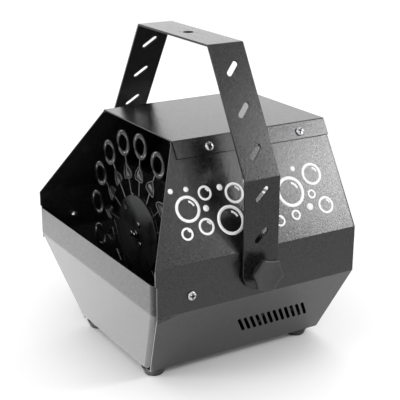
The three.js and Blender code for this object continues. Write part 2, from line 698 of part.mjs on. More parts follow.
const FINISHES = {
  satinBlack: { color: 0x26282a, roughness: 0.42, metalness: 0.0 },
  gloss: { color: 0x1b1c1d, roughness: 0.25, metalness: 0.0 },
  moulded: { color: 0x2c2d2e, roughness: 0.5, metalness: 0.0 },
  rubber: { color: 0x1a1a1a, roughness: 0.85, metalness: 0.0 },
  zinc: { color: 0xc8ccd0, roughness: 0.28, metalness: 1.0 },
  ivory: { color: 0xd8d4c8, roughness: 0.6, metalness: 0.0 },
};

function place(name, geometry, finish, parent = machine) {
  const mesh = new THREE.Mesh(geometry, new THREE.MeshStandardMaterial(FINISHES[finish]));
  mesh.name = name;
  parent.add(mesh);
  return mesh;
}

function buildCase() {
  const shell = rightShell();
  place('side_shell_right', shell, 'satinBlack');
  place('side_shell_left', mirrored(shell), 'satinBlack');
  place('top_cover', topCover(), 'satinBlack');
  place('rear_panel', rearPanel(), 'satinBlack');
  place('base_plate', basePlate(), 'satinBlack');
  place('tank_tray', tankTray(), 'satinBlack');
  place('motor_plate', motorPlate(), 'satinBlack');
  place('fan_plate', fanPlate(), 'satinBlack');
}

function buildFeet() {
  for (const [end, y] of [['front', FOOT_Y[0]], ['rear', FOOT_Y[1]]]) {
    for (const [side, x] of [['left', -FOOT_X], ['right', FOOT_X]]) {
      place(`foot_${end}_${side}`, foot(), 'rubber').position.set(x, y, 0);
    }
  }
}

function buildFan() {
  place('fan_frame', fanFrame(), 'moulded');
  place('fan_rotor', fanRotor(), 'moulded');
}

function buildWheel() {
  place('gear_motor', gearMotor(), 'zinc');
  place('wheel_shaft', wheelShaft(), 'zinc');
  place('hub_front_disc', hubFrontDisc(), 'gloss');
  place('hub_rear_disc', hubRearDisc(), 'gloss');
  place('shaft_nut', shaftNut(), 'zinc').position.set(0, HUB_FRONT_Y - TOUCH, HUB_Z);
  HUB_SCREW_DEGREES.forEach((degrees, i) => {
    const [x, z] = polar(HUB_SCREW_CIRCLE, degrees);
    place(`hub_screw_${i + 1}`, hubScrew(), 'zinc').position.set(x, HUB_FRONT_Y - TOUCH, z);
  });
  for (let i = 0; i < WAND_COUNT; i += 1) {
    const mesh = place(`wand_${String(i + 1).padStart(2, '0')}`, wand(), 'gloss');
    mesh.position.set(0, WHEEL_Y, HUB_Z);
    mesh.rotation.y = radians(FIRST_WAND_DEG + (i * 360) / WAND_COUNT);
  }
}

function buildBracket() {
  place('handle_bracket', handleBracket(), 'satinBlack');
  const pieces = {
    knob: [knob(), 'moulded'],
    stud: [stud(), 'zinc'],
    friction_washer: [frictionWasher(), 'rubber'],
  };
  for (const [name, [geometry, finish]] of Object.entries(pieces)) {
    const right = toGeometry(toManifold(geometry));
    place(`${name}_right`, right, finish);
    place(`${name}_left`, mirrored(right), finish);
  }
}

// A screw with its head turned to +X or -X, just clear of the panel at x = 0.
function sideways(geometry, sign) {
  return geometry.rotateZ((sign * Math.PI) / 2).translate(sign * TOUCH, 0, 0);
}

function buildCaseScrews() {
  const [x, z] = onUpperSlope(COVER_SCREW_DOWN);
  for (const [side, sign] of [['left', -1], ['right', 1]]) {
    COVER_SCREW_Y.forEach((y, i) => {
      const mesh = place(`cover_screw_${side}_${i + 1}`, sideways(caseScrew(), sign), 'zinc');
      mesh.rotation.y = -sign * UPPER_TILT;
      mesh.position.set(sign * x, y, z);
    });
    const sideScrew = place(`side_screw_${side}`, sideways(caseScrew(), sign), 'zinc');
    sideScrew.position.set(sign * BAND_HALF, SIDE_SCREW.y, SIDE_SCREW.z);
  }
  REAR_SCREWS.forEach(([screwX, screwZ], i) => {
    const mesh = place(`rear_screw_${i + 1}`, caseScrew(), 'zinc');
    mesh.rotation.z = Math.PI;
    mesh.position.set(screwX, REAR_Y + TOUCH, screwZ);
  });
}

function buildMainsParts() {
  place('power_inlet', powerInlet(), 'moulded');
  place('fuse_drawer', fuseDrawer(), 'moulded');
  place('switch_frame', switchFrame(), 'moulded');
  place('switch_rocker', switchRocker(), 'moulded');
  place('terminal_block', terminalBlock(), 'ivory');
}

buildCase();
buildFeet();
buildFan();
buildWheel();
buildBracket();
buildCaseScrews();
buildMainsParts();

export default machine;
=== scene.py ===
"""Looks for the bubble machine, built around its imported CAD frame.

Lengths are in millimetres while a shape is made and become metres when it turns into an object.
+Z is up, the bubble opening faces -Y, and the origin lies on the floor below the machine.
"""

import math
import random

import bmesh
import bpy
from mathutils import Matrix, Vector


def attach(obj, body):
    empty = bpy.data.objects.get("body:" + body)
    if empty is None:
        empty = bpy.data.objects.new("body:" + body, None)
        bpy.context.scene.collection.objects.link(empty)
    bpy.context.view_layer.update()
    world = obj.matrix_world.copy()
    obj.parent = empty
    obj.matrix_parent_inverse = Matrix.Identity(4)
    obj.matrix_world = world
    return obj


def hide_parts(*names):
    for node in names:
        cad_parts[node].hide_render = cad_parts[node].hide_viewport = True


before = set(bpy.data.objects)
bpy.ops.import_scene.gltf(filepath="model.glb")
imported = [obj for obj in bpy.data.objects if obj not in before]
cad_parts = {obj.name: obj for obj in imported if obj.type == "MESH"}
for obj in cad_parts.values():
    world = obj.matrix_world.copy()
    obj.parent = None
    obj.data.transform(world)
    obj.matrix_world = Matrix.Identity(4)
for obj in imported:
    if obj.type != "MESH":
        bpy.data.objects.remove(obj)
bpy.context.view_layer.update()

MM = 0.001
SHEET = 1.2
GAP = 0.3
BEND = 1.5  # outer radius of a fold

# Section of the case, from the CAD part's driving dimensions.
BASE_Z = 8.0
BAND_LOW_Z = 90.1
BAND_HIGH_Z = 135.6
TOP_Z = 231.1
BASE_HALF = 72.6
BAND_HALF = 125.0
TOP_HALF = 67.0
SHELL_TOP_Z = TOP_Z - SHEET - GAP
UNDER_FLANGE_X = 44.0
FRONT_BASE_Y = -91.7
FRONT_BAND_Y = -112.5
FRONT_TOP_Y = -62.7
REAR_Y = 108.0
SHELL_REAR_Y = REAR_Y - SHEET - GAP
LIP_Z = 119.3
COVER_FLANGE = 17.0
FLANGE_SET_BACK = 5.0  # the shells' top edges stop short of the front
FLANGE_NOTCH = (2.5, 4.0)  # where that step starts and ends, past the upper fold
TANK_SET_BACK = 1.6  # the shells' edges beside the tank stop short of its front wall

TANK_HALF = 122.4
TANK_REAR_Y = -26.0
TANK_REAR_WALL_Z = 100.0
TANK_CORNER = 8.0
TANK_LEFT_CORNER = 1.8
TANK_REAR_CORNER = 2.0
TANK_REAR_CORNER_REACH = 1.9
TANK_LEFT_HALF = 123.5
TANK_FLOOR_RADIUS = 2.0
TANK_FOLD_REACH = 1.6
MOTOR_PLATE_Y = -22.5
MOTOR_PLATE_TOP_Z = 166.0
MOTOR_PLATE_SHELF = 9.0
MOTOR_PLATE_BORE = 7.0

HUB_Z = 119.9
WHEEL_Y = -61.6
HUB_RADIUS = 39.5
HUB_DISC = 1.5
HUB_HALF_DEPTH = 2.3
HUB_BORE = 2.8
SHAFT_RADIUS = 2.45
WAND_COUNT = 16
FIRST_WAND_DEG = 3.9
RING_CENTRE = 90.7
RING_OUTER = 13.4
RING_INNER = 7.8
RING_DEPTH = 3.4
RING_RIBS = 44
RIB_HEIGHT = 0.8
PADDLE_TIP = 70.8
PADDLE_SHOULDER = 58.5
PADDLE_BASE = 55.2
PADDLE_HALF = 8.7
PADDLE_DEPTH = 3.0
SPOKE_HALF = 1.0
SPOKE_START = 20.0
SPOKE_THIN_HALF = 0.55
HUB_SCREW_CIRCLE = 11.4
HUB_SCREW_DEGREES = (20, 146, 257)
NIB_DEGREES = -10
SINK_MARK = (32, -43)

FAN_PLATE_Y = 20.0
FAN_FRONT_Y = FAN_PLATE_Y + SHEET + GAP
FAN_DEPTH = 25.0
FAN_Z = 179.0
FAN_SIDE = 92.0
FAN_BORE = 43.6
FAN_BLADES = 7
FAN_FLANGE = 3.6
FAN_WALL = 1.8
FAN_MOTOR_RADIUS = 19.0
ROTOR_HUB_RADIUS = 17.5
BLADE_ROOT = 16.5
BLADE_TIP_GAP = 1.4
BLADE_ROOT_PITCH = 52
BLADE_TWIST = 22
BLADE_ROOT_CHORD = 17
BLADE_CHORD_GROWTH = 9
BLADE_CAMBER = 2.2
BLADE_SWEEP = 10
BLADE_THICKNESS = 1.3

PIVOT_Y = -5.3
PIVOT_Z = 115.4
BRACKET_HALF = 129.7
BRACKET_WIDTH = 38.0
BRACKET_SHEET = 2.0
BRACKET_BEND = 2.6
BRACKET_BEND_Z = 203.1
BRACKET_TOP_Z = 314.2
BRACKET_TOP_HALF = 65.6
SLOT_COUNT = 5
SLOT_SPACING = 39.4
SLOT_FIRST = 34.2
SLOT_HALF_WIDTH = 2.6
SLOT_LENGTH = 12.4
HOOK_HOLE_RADIUS = 5.2
STUD_HOLE = 4.6

KNOB_FACE_X = 144.0
KNOB_HEAD = 5.2
KNOB_LOBE_RADIUS = 16.5
KNOB_WAIST_RADIUS = 13.7
KNOB_CORNER_RADIUS = 1.5
KNOB_CORNER_REACH = 28  # degrees of arc on either side of a corner
KNOB_TURNED = 10
KNOB_NECK_RADIUS = 8.5
WASHER_RADIUS = 13.0

SCREW_HEAD_RADIUS = 4.4
SCREW_HEAD_HEIGHT = 2.4
SCREW_SHANK_RADIUS = 1.7
SCREW_HOLE = 2.2
THREAD_PITCH = 0.7
THREAD_DEPTH = 0.22
SCREW_LIFT = 0.1  # the gap below a head
COVER_SCREW_DOWN = 9.9
COVER_SCREW_Y = (-27.3, 75.5)
SIDE_SCREW = (-76.0, 105.0)
REAR_SCREWS = ((-119, 125), (119, 125), (-60, 14.5), (60, 14.5))

VENT_COUNT = 12
VENT_PITCH = 6.74
VENT_HALF_WIDTH = 1.6
VENT_FIRST_Y = -10.0
VENT_SLANT = 13.0
VENT_DOWN = (40.6, 62.0)
REAR_VENT_Z = (160.0, 186.0)

FOOT_X = 60.0
FOOT_Y = (-79.0, 90.0)
FOOT_TOP_RADIUS = 12.2
FOOT_BASE_RADIUS = 9.4

INLET = (-30.0, 66.0)
INLET_SIZE = (30.0, 47.0)
INLET_FLANGE = 3.0
INLET_DEPTH = 22
SOCKET_DEPTH = 14
DRAWER_WELL = 20
SWITCH = (26.0, 66.0)
SWITCH_SIZE = (15.0, 21.0)
SWITCH_FLANGE = 2.3
SWITCH_OPENING = (10.4, 17.2)
SWITCH_DEPTH = 7
CUTOUT_MARGIN = 1.2  # how far a flange covers the panel beyond its cut-out
WELL_STEP = 0.6  # how far below a flange's face a well's walls begin
ROCKER_TILT = 10.0

UPPER_TILT = math.atan((BAND_HALF - TOP_HALF) / (TOP_Z - BAND_HIGH_Z))
SHELL_TOP_HALF = BAND_HALF - math.tan(UPPER_TILT) * (SHELL_TOP_Z - BAND_HIGH_Z)


# ------------------------------------------------------------------ outlines in a plane

def arc(centre, radius, first, turn, steps):
    """Points along an arc; its first angle and its turn are in radians."""
    angles = [first + turn * i / steps for i in range(steps + 1)]
    return [(centre[0] + radius * math.cos(t), centre[1] + radius * math.sin(t)) for t in angles]


def circle(centre, radius, steps=32):
    return arc(centre, radius, 0, 2 * math.pi, steps)[:-1]


def slot(start, end, half_width, steps=8):
    """A slot with round ends between two points."""
    angle = math.atan2(end[1] - start[1], end[0] - start[0])
    far_end = arc(end, half_width, angle - math.pi / 2, math.pi, steps)
    return far_end + arc(start, half_width, angle + math.pi / 2, math.pi, steps)


def rounded_rectangle(low, high, radius, steps=5):
    corners = (
        (high[0] - radius, low[1] + radius, -0.5), (high[0] - radius, high[1] - radius, 0.0),
        (low[0] + radius, high[1] - radius, 0.5), (low[0] + radius, low[1] + radius, 1.0),
    )
    points = []
    for a, b, half_turns in corners:
        points += arc((a, b), radius, math.pi * half_turns, math.pi / 2, steps)
    return points


def inset(points, distance):
    """A counter-clockwise convex outline moved inwards."""
    moved = []
    for i, point in enumerate(points):
        before, after = points[i - 1], points[(i + 1) % len(points)]
        normals = []
        for start, end in ((before, point), (point, after)):
            length = math.hypot(end[0] - start[0], end[1] - start[1])
            normals.append(((start[1] - end[1]) / length, (end[0] - start[0]) / length))
        (ax, ay), (bx, by) = normals
        scale = distance / (1 + ax * bx + ay * by)
        moved.append((point[0] + scale * (ax + bx), point[1] + scale * (ay + by)))
    return moved


# ------------------------------------------------------------------ meshes

def to_mesh(bm, name, smooth_below=35):
    """Turns a shape in millimetres into a mesh in metres, smooth except at sharp edges."""
    bmesh.ops.scale(bm, vec=(MM, MM, MM), verts=bm.verts)
    mesh = bpy.data.meshes.new(name)
    bm.to_mesh(mesh)
    bm.free()
    for polygon in mesh.polygons:
        polygon.use_smooth = True
    mesh.set_sharp_from_angle(angle=math.radians(smooth_below))
    return mesh


def with_modifiers(mesh, *settings):
    """The mesh after modifiers, each given as (type, {setting: value})."""
    holder = bpy.data.objects.new("holder", mesh)
    bpy.context.scene.collection.objects.link(holder)
    for kind, values in settings:
        modifier = holder.modifiers.new(kind.lower(), kind)
        for key, value in values.items():
            setattr(modifier, key, value)
    evaluated = holder.evaluated_get(bpy.context.evaluated_depsgraph_get())
    made = bpy.data.meshes.new_from_object(evaluated)
    made.name = mesh.name
    bpy.data.objects.remove(holder)
    return made


def bevel(width, segments=2, above=40):
    return ("BEVEL", {
        "width": width * MM, "segments": segments, "limit_method": "ANGLE",
        "angle_limit": math.radians(above),
    })


def thicken(thickness):
    """Adds thickness behind a sheet's outer face."""
    return ("SOLIDIFY", {"thickness": thickness * MM, "offset": -1.0, "use_even_offset": True})


def keep_panels_flat(mesh, least_share=0.004):
    """Flat shading and sharp edges on every plane that holds a good share of the mesh's area."""
    areas = {}
    for polygon in mesh.polygons:
        facing = tuple(round(part, 2) for part in polygon.normal)
        areas[facing] = areas.get(facing, 0) + polygon.area
    least = least_share * sum(areas.values())
    planes = [Vector(facing).normalized() for facing, area in areas.items() if area >= least]
    nearly_same = math.cos(math.radians(1))
    for polygon in mesh.polygons:
        if any(polygon.normal.dot(plane) > nearly_same for plane in planes):
            polygon.use_smooth = False
            for i in polygon.loop_indices:
                mesh.edges[mesh.loops[i].edge_index].use_edge_sharp = True


def sharpen(mesh, above=35, panels=False):
    """Smooth shading that keeps sharp edges, and keeps the panels of a folded sheet flat."""
    mesh.set_sharp_from_angle(angle=math.radians(above))
    if panels:
        keep_panels_flat(mesh)
    return with_modifiers(mesh, ("WEIGHTED_NORMAL", {"weight": 100, "keep_sharp": True}))


def sheet_metal(mesh, thickness=SHEET, rim=0.25):
    """Gives an outer face its thickness and rounded rims."""
    return sharpen(with_modifiers(mesh, thicken(thickness), bevel(rim)), 60, panels=True)


def loft(bm, loops, cap_first=True, cap_last=True, closed=False):
    """Joins loops of equal length with quads; closed joins the last loop to the first."""
    rings = [[bm.verts.new(p) for p in loop] for loop in loops]
    pairs = list(zip(rings, rings[1:]))
    if closed:
        pairs.append((rings[-1], rings[0]))
    for low, high in pairs:
        for i in range(len(low)):
            j = (i + 1) % len(low)
            bm.faces.new((low[i], low[j], high[j], high[i]))
    if cap_first and not closed:
        bm.faces.new(rings[0][::-1])
    if cap_last and not closed:
        bm.faces.new(rings[-1])


def lathe(bm, profile, steps=48, axis="Y", centre=(0, 0, 0)):
    """Turns (radius, height) pairs about an axis through the centre."""
    place = {
        "X": lambda r, h, c, s: (h, r * c, r * s),
        "Y": lambda r, h, c, s: (r * s, h, r * c),
        "Z": lambda r, h, c, s: (r * c, r * s, h),
    }[axis]
    loops = []
    for radius, height in profile:
        loop = []
        for i in range(steps):
            turn = 2 * math.pi * i / steps
            point = place(max(radius, 0.01), height, math.cos(turn), math.sin(turn))
            loop.append(Vector(point) + Vector(centre))
        loops.append(loop)
    loft(bm, loops)
    bmesh.ops.recalc_face_normals(bm, faces=bm.faces)


def turned(name, profile, smooth_below=35, **settings):
    """A mesh made by lathe, which takes the settings."""
    bm = bmesh.new()
    lathe(bm, profile, **settings)
    return to_mesh(bm, name, smooth_below)


def closed_mesh(bm, name, smooth_below):
    """The mesh of a closed shape, with every face looking outwards."""
    bmesh.ops.recalc_face_normals(bm, faces=bm.faces)
    return to_mesh(bm, name, smooth_below)


def from_mesh(mesh):
    """A mesh in metres as a shape in millimetres."""
    bm = bmesh.new()
    bm.from_mesh(mesh)
    bmesh.ops.scale(bm, vec=(1 / MM, 1 / MM, 1 / MM), verts=bm.verts)
    return bm


def absorb(bm, part):
    """Moves a shape's faces into another shape."""
    copy = bpy.data.meshes.new("part")
    part.to_mesh(copy)
    part.free()
    bm.from_mesh(copy)
    bpy.data.meshes.remove(copy)


def at_depth(outline, y, scale=1):
    """An outline in X and Z, scaled and placed at a Y."""
    return [(a * scale, y, b * scale) for a, b in outline]


def box(bm, low, high):
    corners = [(x, y, z) for z in (low[2], high[2]) for x, y in (
        (low[0], low[1]), (high[0], low[1]), (high[0], high[1]), (low[0], high[1]))]
    loft(bm, [corners[:4], corners[4:]])


def flat_sheet(outline, holes=()):
    """Fills an outline with holes; every face looks to +Z."""
    bm = bmesh.new()
    for points in (outline, *holes):
        verts = [bm.verts.new((a, b, 0)) for a, b in points]
        for i, vert in enumerate(verts):
            bm.edges.new((vert, verts[(i + 1) % len(verts)]))
    bmesh.ops.triangle_fill(bm, use_beauty=True, edges=bm.edges[:])
    bm.normal_update()
    bmesh.ops.reverse_faces(bm, faces=[f for f in bm.faces if f.normal.z < 0])
    return bm


def path_lengths(path):
    lengths = [0.0]
    for start, end in zip(path, path[1:]):
        lengths.append(lengths[-1] + math.dist(start, end))
    return lengths


def folded_point(path, radius, along):
    """The point at a distance along a path whose corners are rounded."""
    lengths = path_lengths(path)
    last = len(path) - 1
    for i in range(1, last):
        before = (Vector(path[i]) - Vector(path[i - 1])).normalized()
        after = (Vector(path[i + 1]) - Vector(path[i])).normalized()
        turn = before.angle(after)
        reach = radius * math.tan(turn / 2)
        if abs(along - lengths[i]) <= reach:
            share = (along - lengths[i] + reach) / (2 * reach)
            inward = (after - before * before.dot(after)).normalized()
            start = Vector(path[i]) - before * reach
            angle = turn * share
            return start + radius * (before * math.sin(angle) + inward * (1 - math.cos(angle)))
    for i in range(last):
        if along <= lengths[i + 1] + 1e-6 or i == last - 1:
            direction = (Vector(path[i + 1]) - Vector(path[i])).normalized()
            return Vector(path[i]) + direction * (along - lengths[i])


def fold(bm, path, radius, place, steps=6):
    """Folds a flat sheet, whose X runs along the path, and puts it in space with place(point, y)."""
    lengths = path_lengths(path)
    for i in range(1, len(path) - 1):
        before = Vector(path[i]) - Vector(path[i - 1])
        after = Vector(path[i + 1]) - Vector(path[i])
        reach = radius * math.tan(before.angle(after) / 2)
        for k in range(steps + 1):
            along = lengths[i] - reach + 2 * reach * k / steps
            bmesh.ops.bisect_plane(
                bm, geom=bm.verts[:] + bm.edges[:] + bm.faces[:],
                plane_co=(along, 0, 0), plane_no=(1, 0, 0))
    for vert in bm.verts:
        vert.co = place(folded_point(path, radius, vert.co.x), vert.co.y)
    return bm


def across(point, y):
    """A folded path in X and Z, with the sheet's width along Y."""
    return Vector((point[0], y, point[1]))


def mirrored(mesh, name):
    """The mesh on the other side of the YZ plane."""
    bm = bmesh.new()
    bm.from_mesh(mesh)
    bmesh.ops.scale(bm, vec=(-1, 1, 1), verts=bm.verts)
    bmesh.ops.reverse_faces(bm, faces=bm.faces)
    made = bpy.data.meshes.new(name)
    bm.to_mesh(made)
    bm.free()
    return sharpen(made)


def show(name, mesh, body, finish, *replaces):
    """Adds a piece that rides on a body and may stand for CAD nodes."""
    material, slot_name = finish
    piece = bpy.data.objects.new(name, mesh)
    bpy.context.scene.collection.objects.link(piece)
    if not mesh.materials:
        mesh.materials.append(material)
    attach(piece, body)
    if replaces:
        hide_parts(*replaces)
    return piece


# ------------------------------------------------------------------ materials

class Nodes:
    """Shorthand for building a node material."""

    def __init__(self, name):
        self.material = bpy.data.materials.new(name)
        self.material.use_nodes = True
        self.tree = self.material.node_tree
        self.shader = self.tree.nodes["Principled BSDF"]
        self.coordinates = self.add("ShaderNodeTexCoord").outputs["Object"]

    def add(self, kind, **settings):
        node = self.tree.nodes.new(kind)
        for key, value in settings.items():
            setattr(node, key, value)
        return node

    def link(self, source, target):
        self.tree.links.new(source, target)

    def noise(self, scale, detail=2.0, roughness=0.5, stretch=None):
        node = self.add("ShaderNodeTexNoise")
        node.inputs["Scale"].default_value = scale
        node.inputs["Detail"].default_value = detail
        node.inputs["Roughness"].default_value = roughness
        source = self.coordinates
        if stretch:
            mapping = self.add("ShaderNodeMapping")
            mapping.inputs["Scale"].default_value = stretch
            self.link(source, mapping.inputs["Vector"])
            source = mapping.outputs["Vector"]
        self.link(source, node.inputs["Vector"])
        return node.outputs["Fac"]

    def ramp(self, source, *stops):
        """Colour or grey by level: each stop is (position, grey or colour)."""
        node = self.add("ShaderNodeValToRGB")
        elements = node.color_ramp.elements
        while len(elements) < len(stops):
            elements.new(0.5)
        for element, (position, value) in zip(elements, stops):
            element.position = position
            colour = (value, value, value) if isinstance(value, float) else value
            element.color = (*colour, 1.0)
        self.link(source, node.inputs["Fac"])
        return node.outputs["Color"]

    def bump(self, source, strength, distance, under=None):
        node = self.add("ShaderNodeBump")
        node.inputs["Strength"].default_value = strength
        node.inputs["Distance"].default_value = distance
        self.link(source, node.inputs["Height"])
        if under:
            self.link(under, node.inputs["Normal"])
        return node.outputs["Normal"]

    def set(self, **values):
        for key, value in values.items():
            socket = self.shader.inputs[key.replace("_", " ")]
            if isinstance(value, bpy.types.NodeSocket):
                self.link(value, socket)
            else:
                socket.default_value = value
        return self.material


def powder_coat(name, dull, bright):
    """Black satin powder coat: a fine grain whose specks shine between two levels."""
    n = Nodes(name)
    speck = n.noise(540, detail=4.0, roughness=0.7)
    colour = n.ramp(speck, (0.38, (0.002, 0.002, 0.0022)), (0.64, (0.013, 0.0132, 0.0135)))
    rough = n.ramp(speck, (0.34, 0.18), (0.66, 0.26))
    peel = n.bump(n.noise(420, detail=2.0), 0.5, 0.00004)
    grain = n.bump(speck, 1.0, 0.00011, under=peel)
    shine = n.ramp(n.noise(760, detail=2.0), (0.36, dull), (0.64, bright))
    return n.set(Base_Color=colour, Roughness=rough, Normal=grain, IOR=1.5, Specular_IOR_Level=shine)


def gloss_plastic(name, shine):
    """Glossy black moulding with faint flow marks and handling haze."""
    n = Nodes(name)
    haze = n.noise(90, detail=4.0)
    colour = n.ramp(haze, (0.3, (0.004, 0.004, 0.0045)), (0.8, (0.011, 0.0115, 0.012)))
    rough = n.ramp(haze, (0.3, 0.16), (0.75, 0.26))
    flow = n.bump(n.noise(260, detail=2.0, stretch=(1, 1, 0.25)), 0.5, 0.00006)
    return n.set(Base_Color=colour, Roughness=rough, Normal=flow, IOR=1.5, Specular_IOR_Level=shine)


def moulded_plastic():
    """Black moulding with a fine eroded texture."""
    n = Nodes("moulded_black_plastic")
    grain = n.noise(1500, detail=2.0)
    cloud = n.noise(60, detail=3.0)
    colour = n.ramp(cloud, (0.3, (0.010, 0.010, 0.0105)), (0.75, (0.019, 0.0195, 0.020)))
    rough = n.ramp(grain, (0.3, 0.32), (0.7, 0.45))
    return n.set(Base_Color=colour, Roughness=rough, Normal=n.bump(grain, 0.5, 0.00006), IOR=1.5)


def rubber():
    """Matt black rubber with a dusty bloom."""
    n = Nodes("rubber_black")
    bloom = n.noise(140, detail=5.0)
    colour = n.ramp(bloom, (0.35, 0.012), (0.8, (0.034, 0.033, 0.032)))
    rough = n.ramp(bloom, (0.3, 0.72), (0.8, 0.88))
    return n.set(Base_Color=colour, Roughness=rough, Normal=n.bump(n.noise(900), 0.25, 0.0003))


def zinc(name, dull, bright):
    """Zinc plate with fine scratches and slight staining."""
    n = Nodes(name)
    stain = n.noise(220, detail=4.0)
    scratch = n.noise(2600, detail=1.0, stretch=(1, 0.08, 1))
    colour = n.ramp(stain, (0.3, dull), (0.75, bright))
    rough = n.ramp(stain, (0.3, 0.16), (0.8, 0.28))
    return n.set(Base_Color=colour, Roughness=rough, Metallic=1.0, Normal=n.bump(scratch, 0.4, 0.00003))


def painted_recess_shade():
    """Painted shade for a screw's cross recess: a dark, slightly mottled matt colour in place of the shade
    that falls inside it.
    """
    n = Nodes("painted_recess_shade")
    shade_mottle = n.noise(700, detail=3.0)
    colour = n.ramp(shade_mottle, (0.3, 0.004), (0.8, (0.020, 0.019, 0.018)))
    return n.set(Base_Color=colour, Roughness=n.ramp(shade_mottle, (0.3, 0.5), (0.8, 0.7)))


def ivory_plastic():
    n = Nodes("ivory_plastic")
    cloud = n.noise(80, detail=3.0)
    colour = n.ramp(cloud, (0.3, (0.52, 0.48, 0.40)), (0.8, (0.64, 0.60, 0.52)))
    return n.set(Base_Color=colour, Roughness=n.ramp(cloud, (0.3, 0.5), (0.8, 0.62)))


def white_print():
    """Screen-printed white ink, slightly uneven over the coat's grain."""
    n = Nodes("white_print")
    cloud = n.noise(400, detail=4.0)
    colour = n.ramp(cloud, (0.25, 0.66), (0.75, 0.84))
    return n.set(Base_Color=colour, Roughness=n.ramp(cloud, (0.3, 0.40), (0.7, 0.52)),
                 Normal=n.bump(n.noise(1100), 0.25, 0.0003))


# Finishes: a material and the slot it stands for.
COAT = (powder_coat("powder_coat_black", 0.38, 0.60), "satin_black")
BRACKET_COAT = (powder_coat("powder_coat_bracket", 0.29, 0.47), "satin_black")
GLOSS = (gloss_plastic("gloss_black_plastic", 0.6), "wand_gloss")
# A copy of the gloss plastic with far less reflection: painted shade for the hub and its marks, whose
# surroundings inside the case are dark.
HUB_SHADED_GLOSS = (gloss_plastic("hub_plastic_painted_shade", 0.16), "wand_gloss")
ROCKER_GLOSS = (GLOSS[0], "moulded_black")
MOULDED = (moulded_plastic(), "moulded_black")
RUBBER = (rubber(), "rubber")
ZINC = (zinc("zinc_plate", (0.40, 0.41, 0.43), (0.60, 0.60, 0.61)), "zinc")
# A darker copy of the zinc plate: painted shade for the wheel's shaft, nut and screws inside the case.
SHADED_ZINC = (zinc("zinc_painted_shade", (0.10, 0.10, 0.11), 0.22), "zinc")
# Painted shade for the screws' cross recesses.
RECESS_SHADE = painted_recess_shade()
IVORY = (ivory_plastic(), "ivory")
PRINT = (white_print(), None)


# ------------------------------------------------------------------ case

SECTION = [
    (-BASE_HALF, BASE_Z), (BASE_HALF, BASE_Z), (BAND_HALF, BAND_LOW_Z), (BAND_HALF, BAND_HIGH_Z),
    (SHELL_TOP_HALF, SHELL_TOP_Z), (-SHELL_TOP_HALF, SHELL_TOP_Z),
    (-BAND_HALF, BAND_HIGH_Z), (-BAND_HALF, BAND_LOW_Z),
]
SHELL_PATH = [(UNDER_FLANGE_X, BASE_Z), *SECTION[1:5], (UNDER_FLANGE_X, SHELL_TOP_Z)]
SHELL_LENGTHS = path_lengths(SHELL_PATH)


def front_y(z):
    """The case's front edge at a height, seen from the side."""
    if z <= BAND_LOW_Z:
        share = (z - BASE_Z) / (BAND_LOW_Z - BASE_Z)
        return FRONT_BASE_Y + share * (FRONT_BAND_Y - FRONT_BASE_Y)
    if z <= BAND_HIGH_Z:
        return FRONT_BAND_Y
    share = (z - BAND_HIGH_Z) / (TOP_Z - BAND_HIGH_Z)
    return FRONT_BAND_Y + share * (FRONT_TOP_Y - FRONT_BAND_Y)


def vent_loops(along):
    """The slanted air slots of a side, whose rows start at a distance along the sheet."""
    loops = []
    for i in range(VENT_COUNT):
        y = VENT_FIRST_Y + i * VENT_PITCH
        loops.append(slot((along - VENT_DOWN[0], y), (along - VENT_DOWN[1], y + VENT_SLANT),
                          VENT_HALF_WIDTH, steps=6))
    return loops


def side_shell(side, sign):
    """A folded side panel; it is drawn for the right side, where sign is 1."""
    band_low, top = SHELL_LENGTHS[2], SHELL_LENGTHS[4]
    front = [(s, front_y(z)) for s, (_, z) in zip(SHELL_LENGTHS, SHELL_PATH)]
    lip = band_low + LIP_Z - BAND_LOW_Z
    beside_tank = [(s, y + TANK_SET_BACK) for s, y in front[:3]]
    beside_tank += [(lip, FRONT_BAND_Y + TANK_SET_BACK), (lip + TANK_SET_BACK, FRONT_BAND_Y)]
    front[:3] = beside_tank
    set_back = front[-1][1] + FLANGE_SET_BACK
    front[-1:] = [
        (top + FLANGE_NOTCH[0], front[-1][1]), (top + FLANGE_NOTCH[1], set_back),
        (SHELL_LENGTHS[-1], set_back),
    ]
    outline = front + [(SHELL_LENGTHS[-1], SHELL_REAR_Y), (0, SHELL_REAR_Y)]
    holes = [circle((top - COVER_SCREW_DOWN, y), SCREW_HOLE) for y in COVER_SCREW_Y]
    holes.append(circle((band_low + PIVOT_Z - BAND_LOW_Z, PIVOT_Y), STUD_HOLE))
    holes.append(circle((band_low + SIDE_SCREW[1] - BAND_LOW_Z, SIDE_SCREW[0]), SCREW_HOLE))
    holes += vent_loops(band_low)
    bm = fold(flat_sheet(outline, holes), SHELL_PATH, BEND, across)
    bmesh.ops.scale(bm, vec=(sign, 1, 1), verts=bm.verts)
    if sign > 0:
        bmesh.ops.reverse_faces(bm, faces=bm.faces)
    return sheet_metal(to_mesh(bm, f"side_shell_{side}"))


def top_cover():
    corner = TOP_HALF + (SHEET + GAP) / math.cos(UPPER_TILT)
    end_x = corner + COVER_FLANGE * math.sin(UPPER_TILT)
    end_z = TOP_Z - COVER_FLANGE * math.cos(UPPER_TILT)
    path = [(end_x, end_z), (corner, TOP_Z), (-corner, TOP_Z), (-end_x, end_z)]
    length = path_lengths(path)[-1]
    outline = [(0, FRONT_TOP_Y), (length, FRONT_TOP_Y), (length, REAR_Y), (0, REAR_Y)]
    holes = []
    for y in COVER_SCREW_Y:
        holes.append(circle((COVER_FLANGE - COVER_SCREW_DOWN, y), SCREW_HOLE))
        holes.append(circle((length - COVER_FLANGE + COVER_SCREW_DOWN, y), SCREW_HOLE))
    bm = fold(flat_sheet(outline, holes), path, BEND, across)
    bmesh.ops.reverse_faces(bm, faces=bm.faces)
    return sheet_metal(to_mesh(bm, "top_cover"))


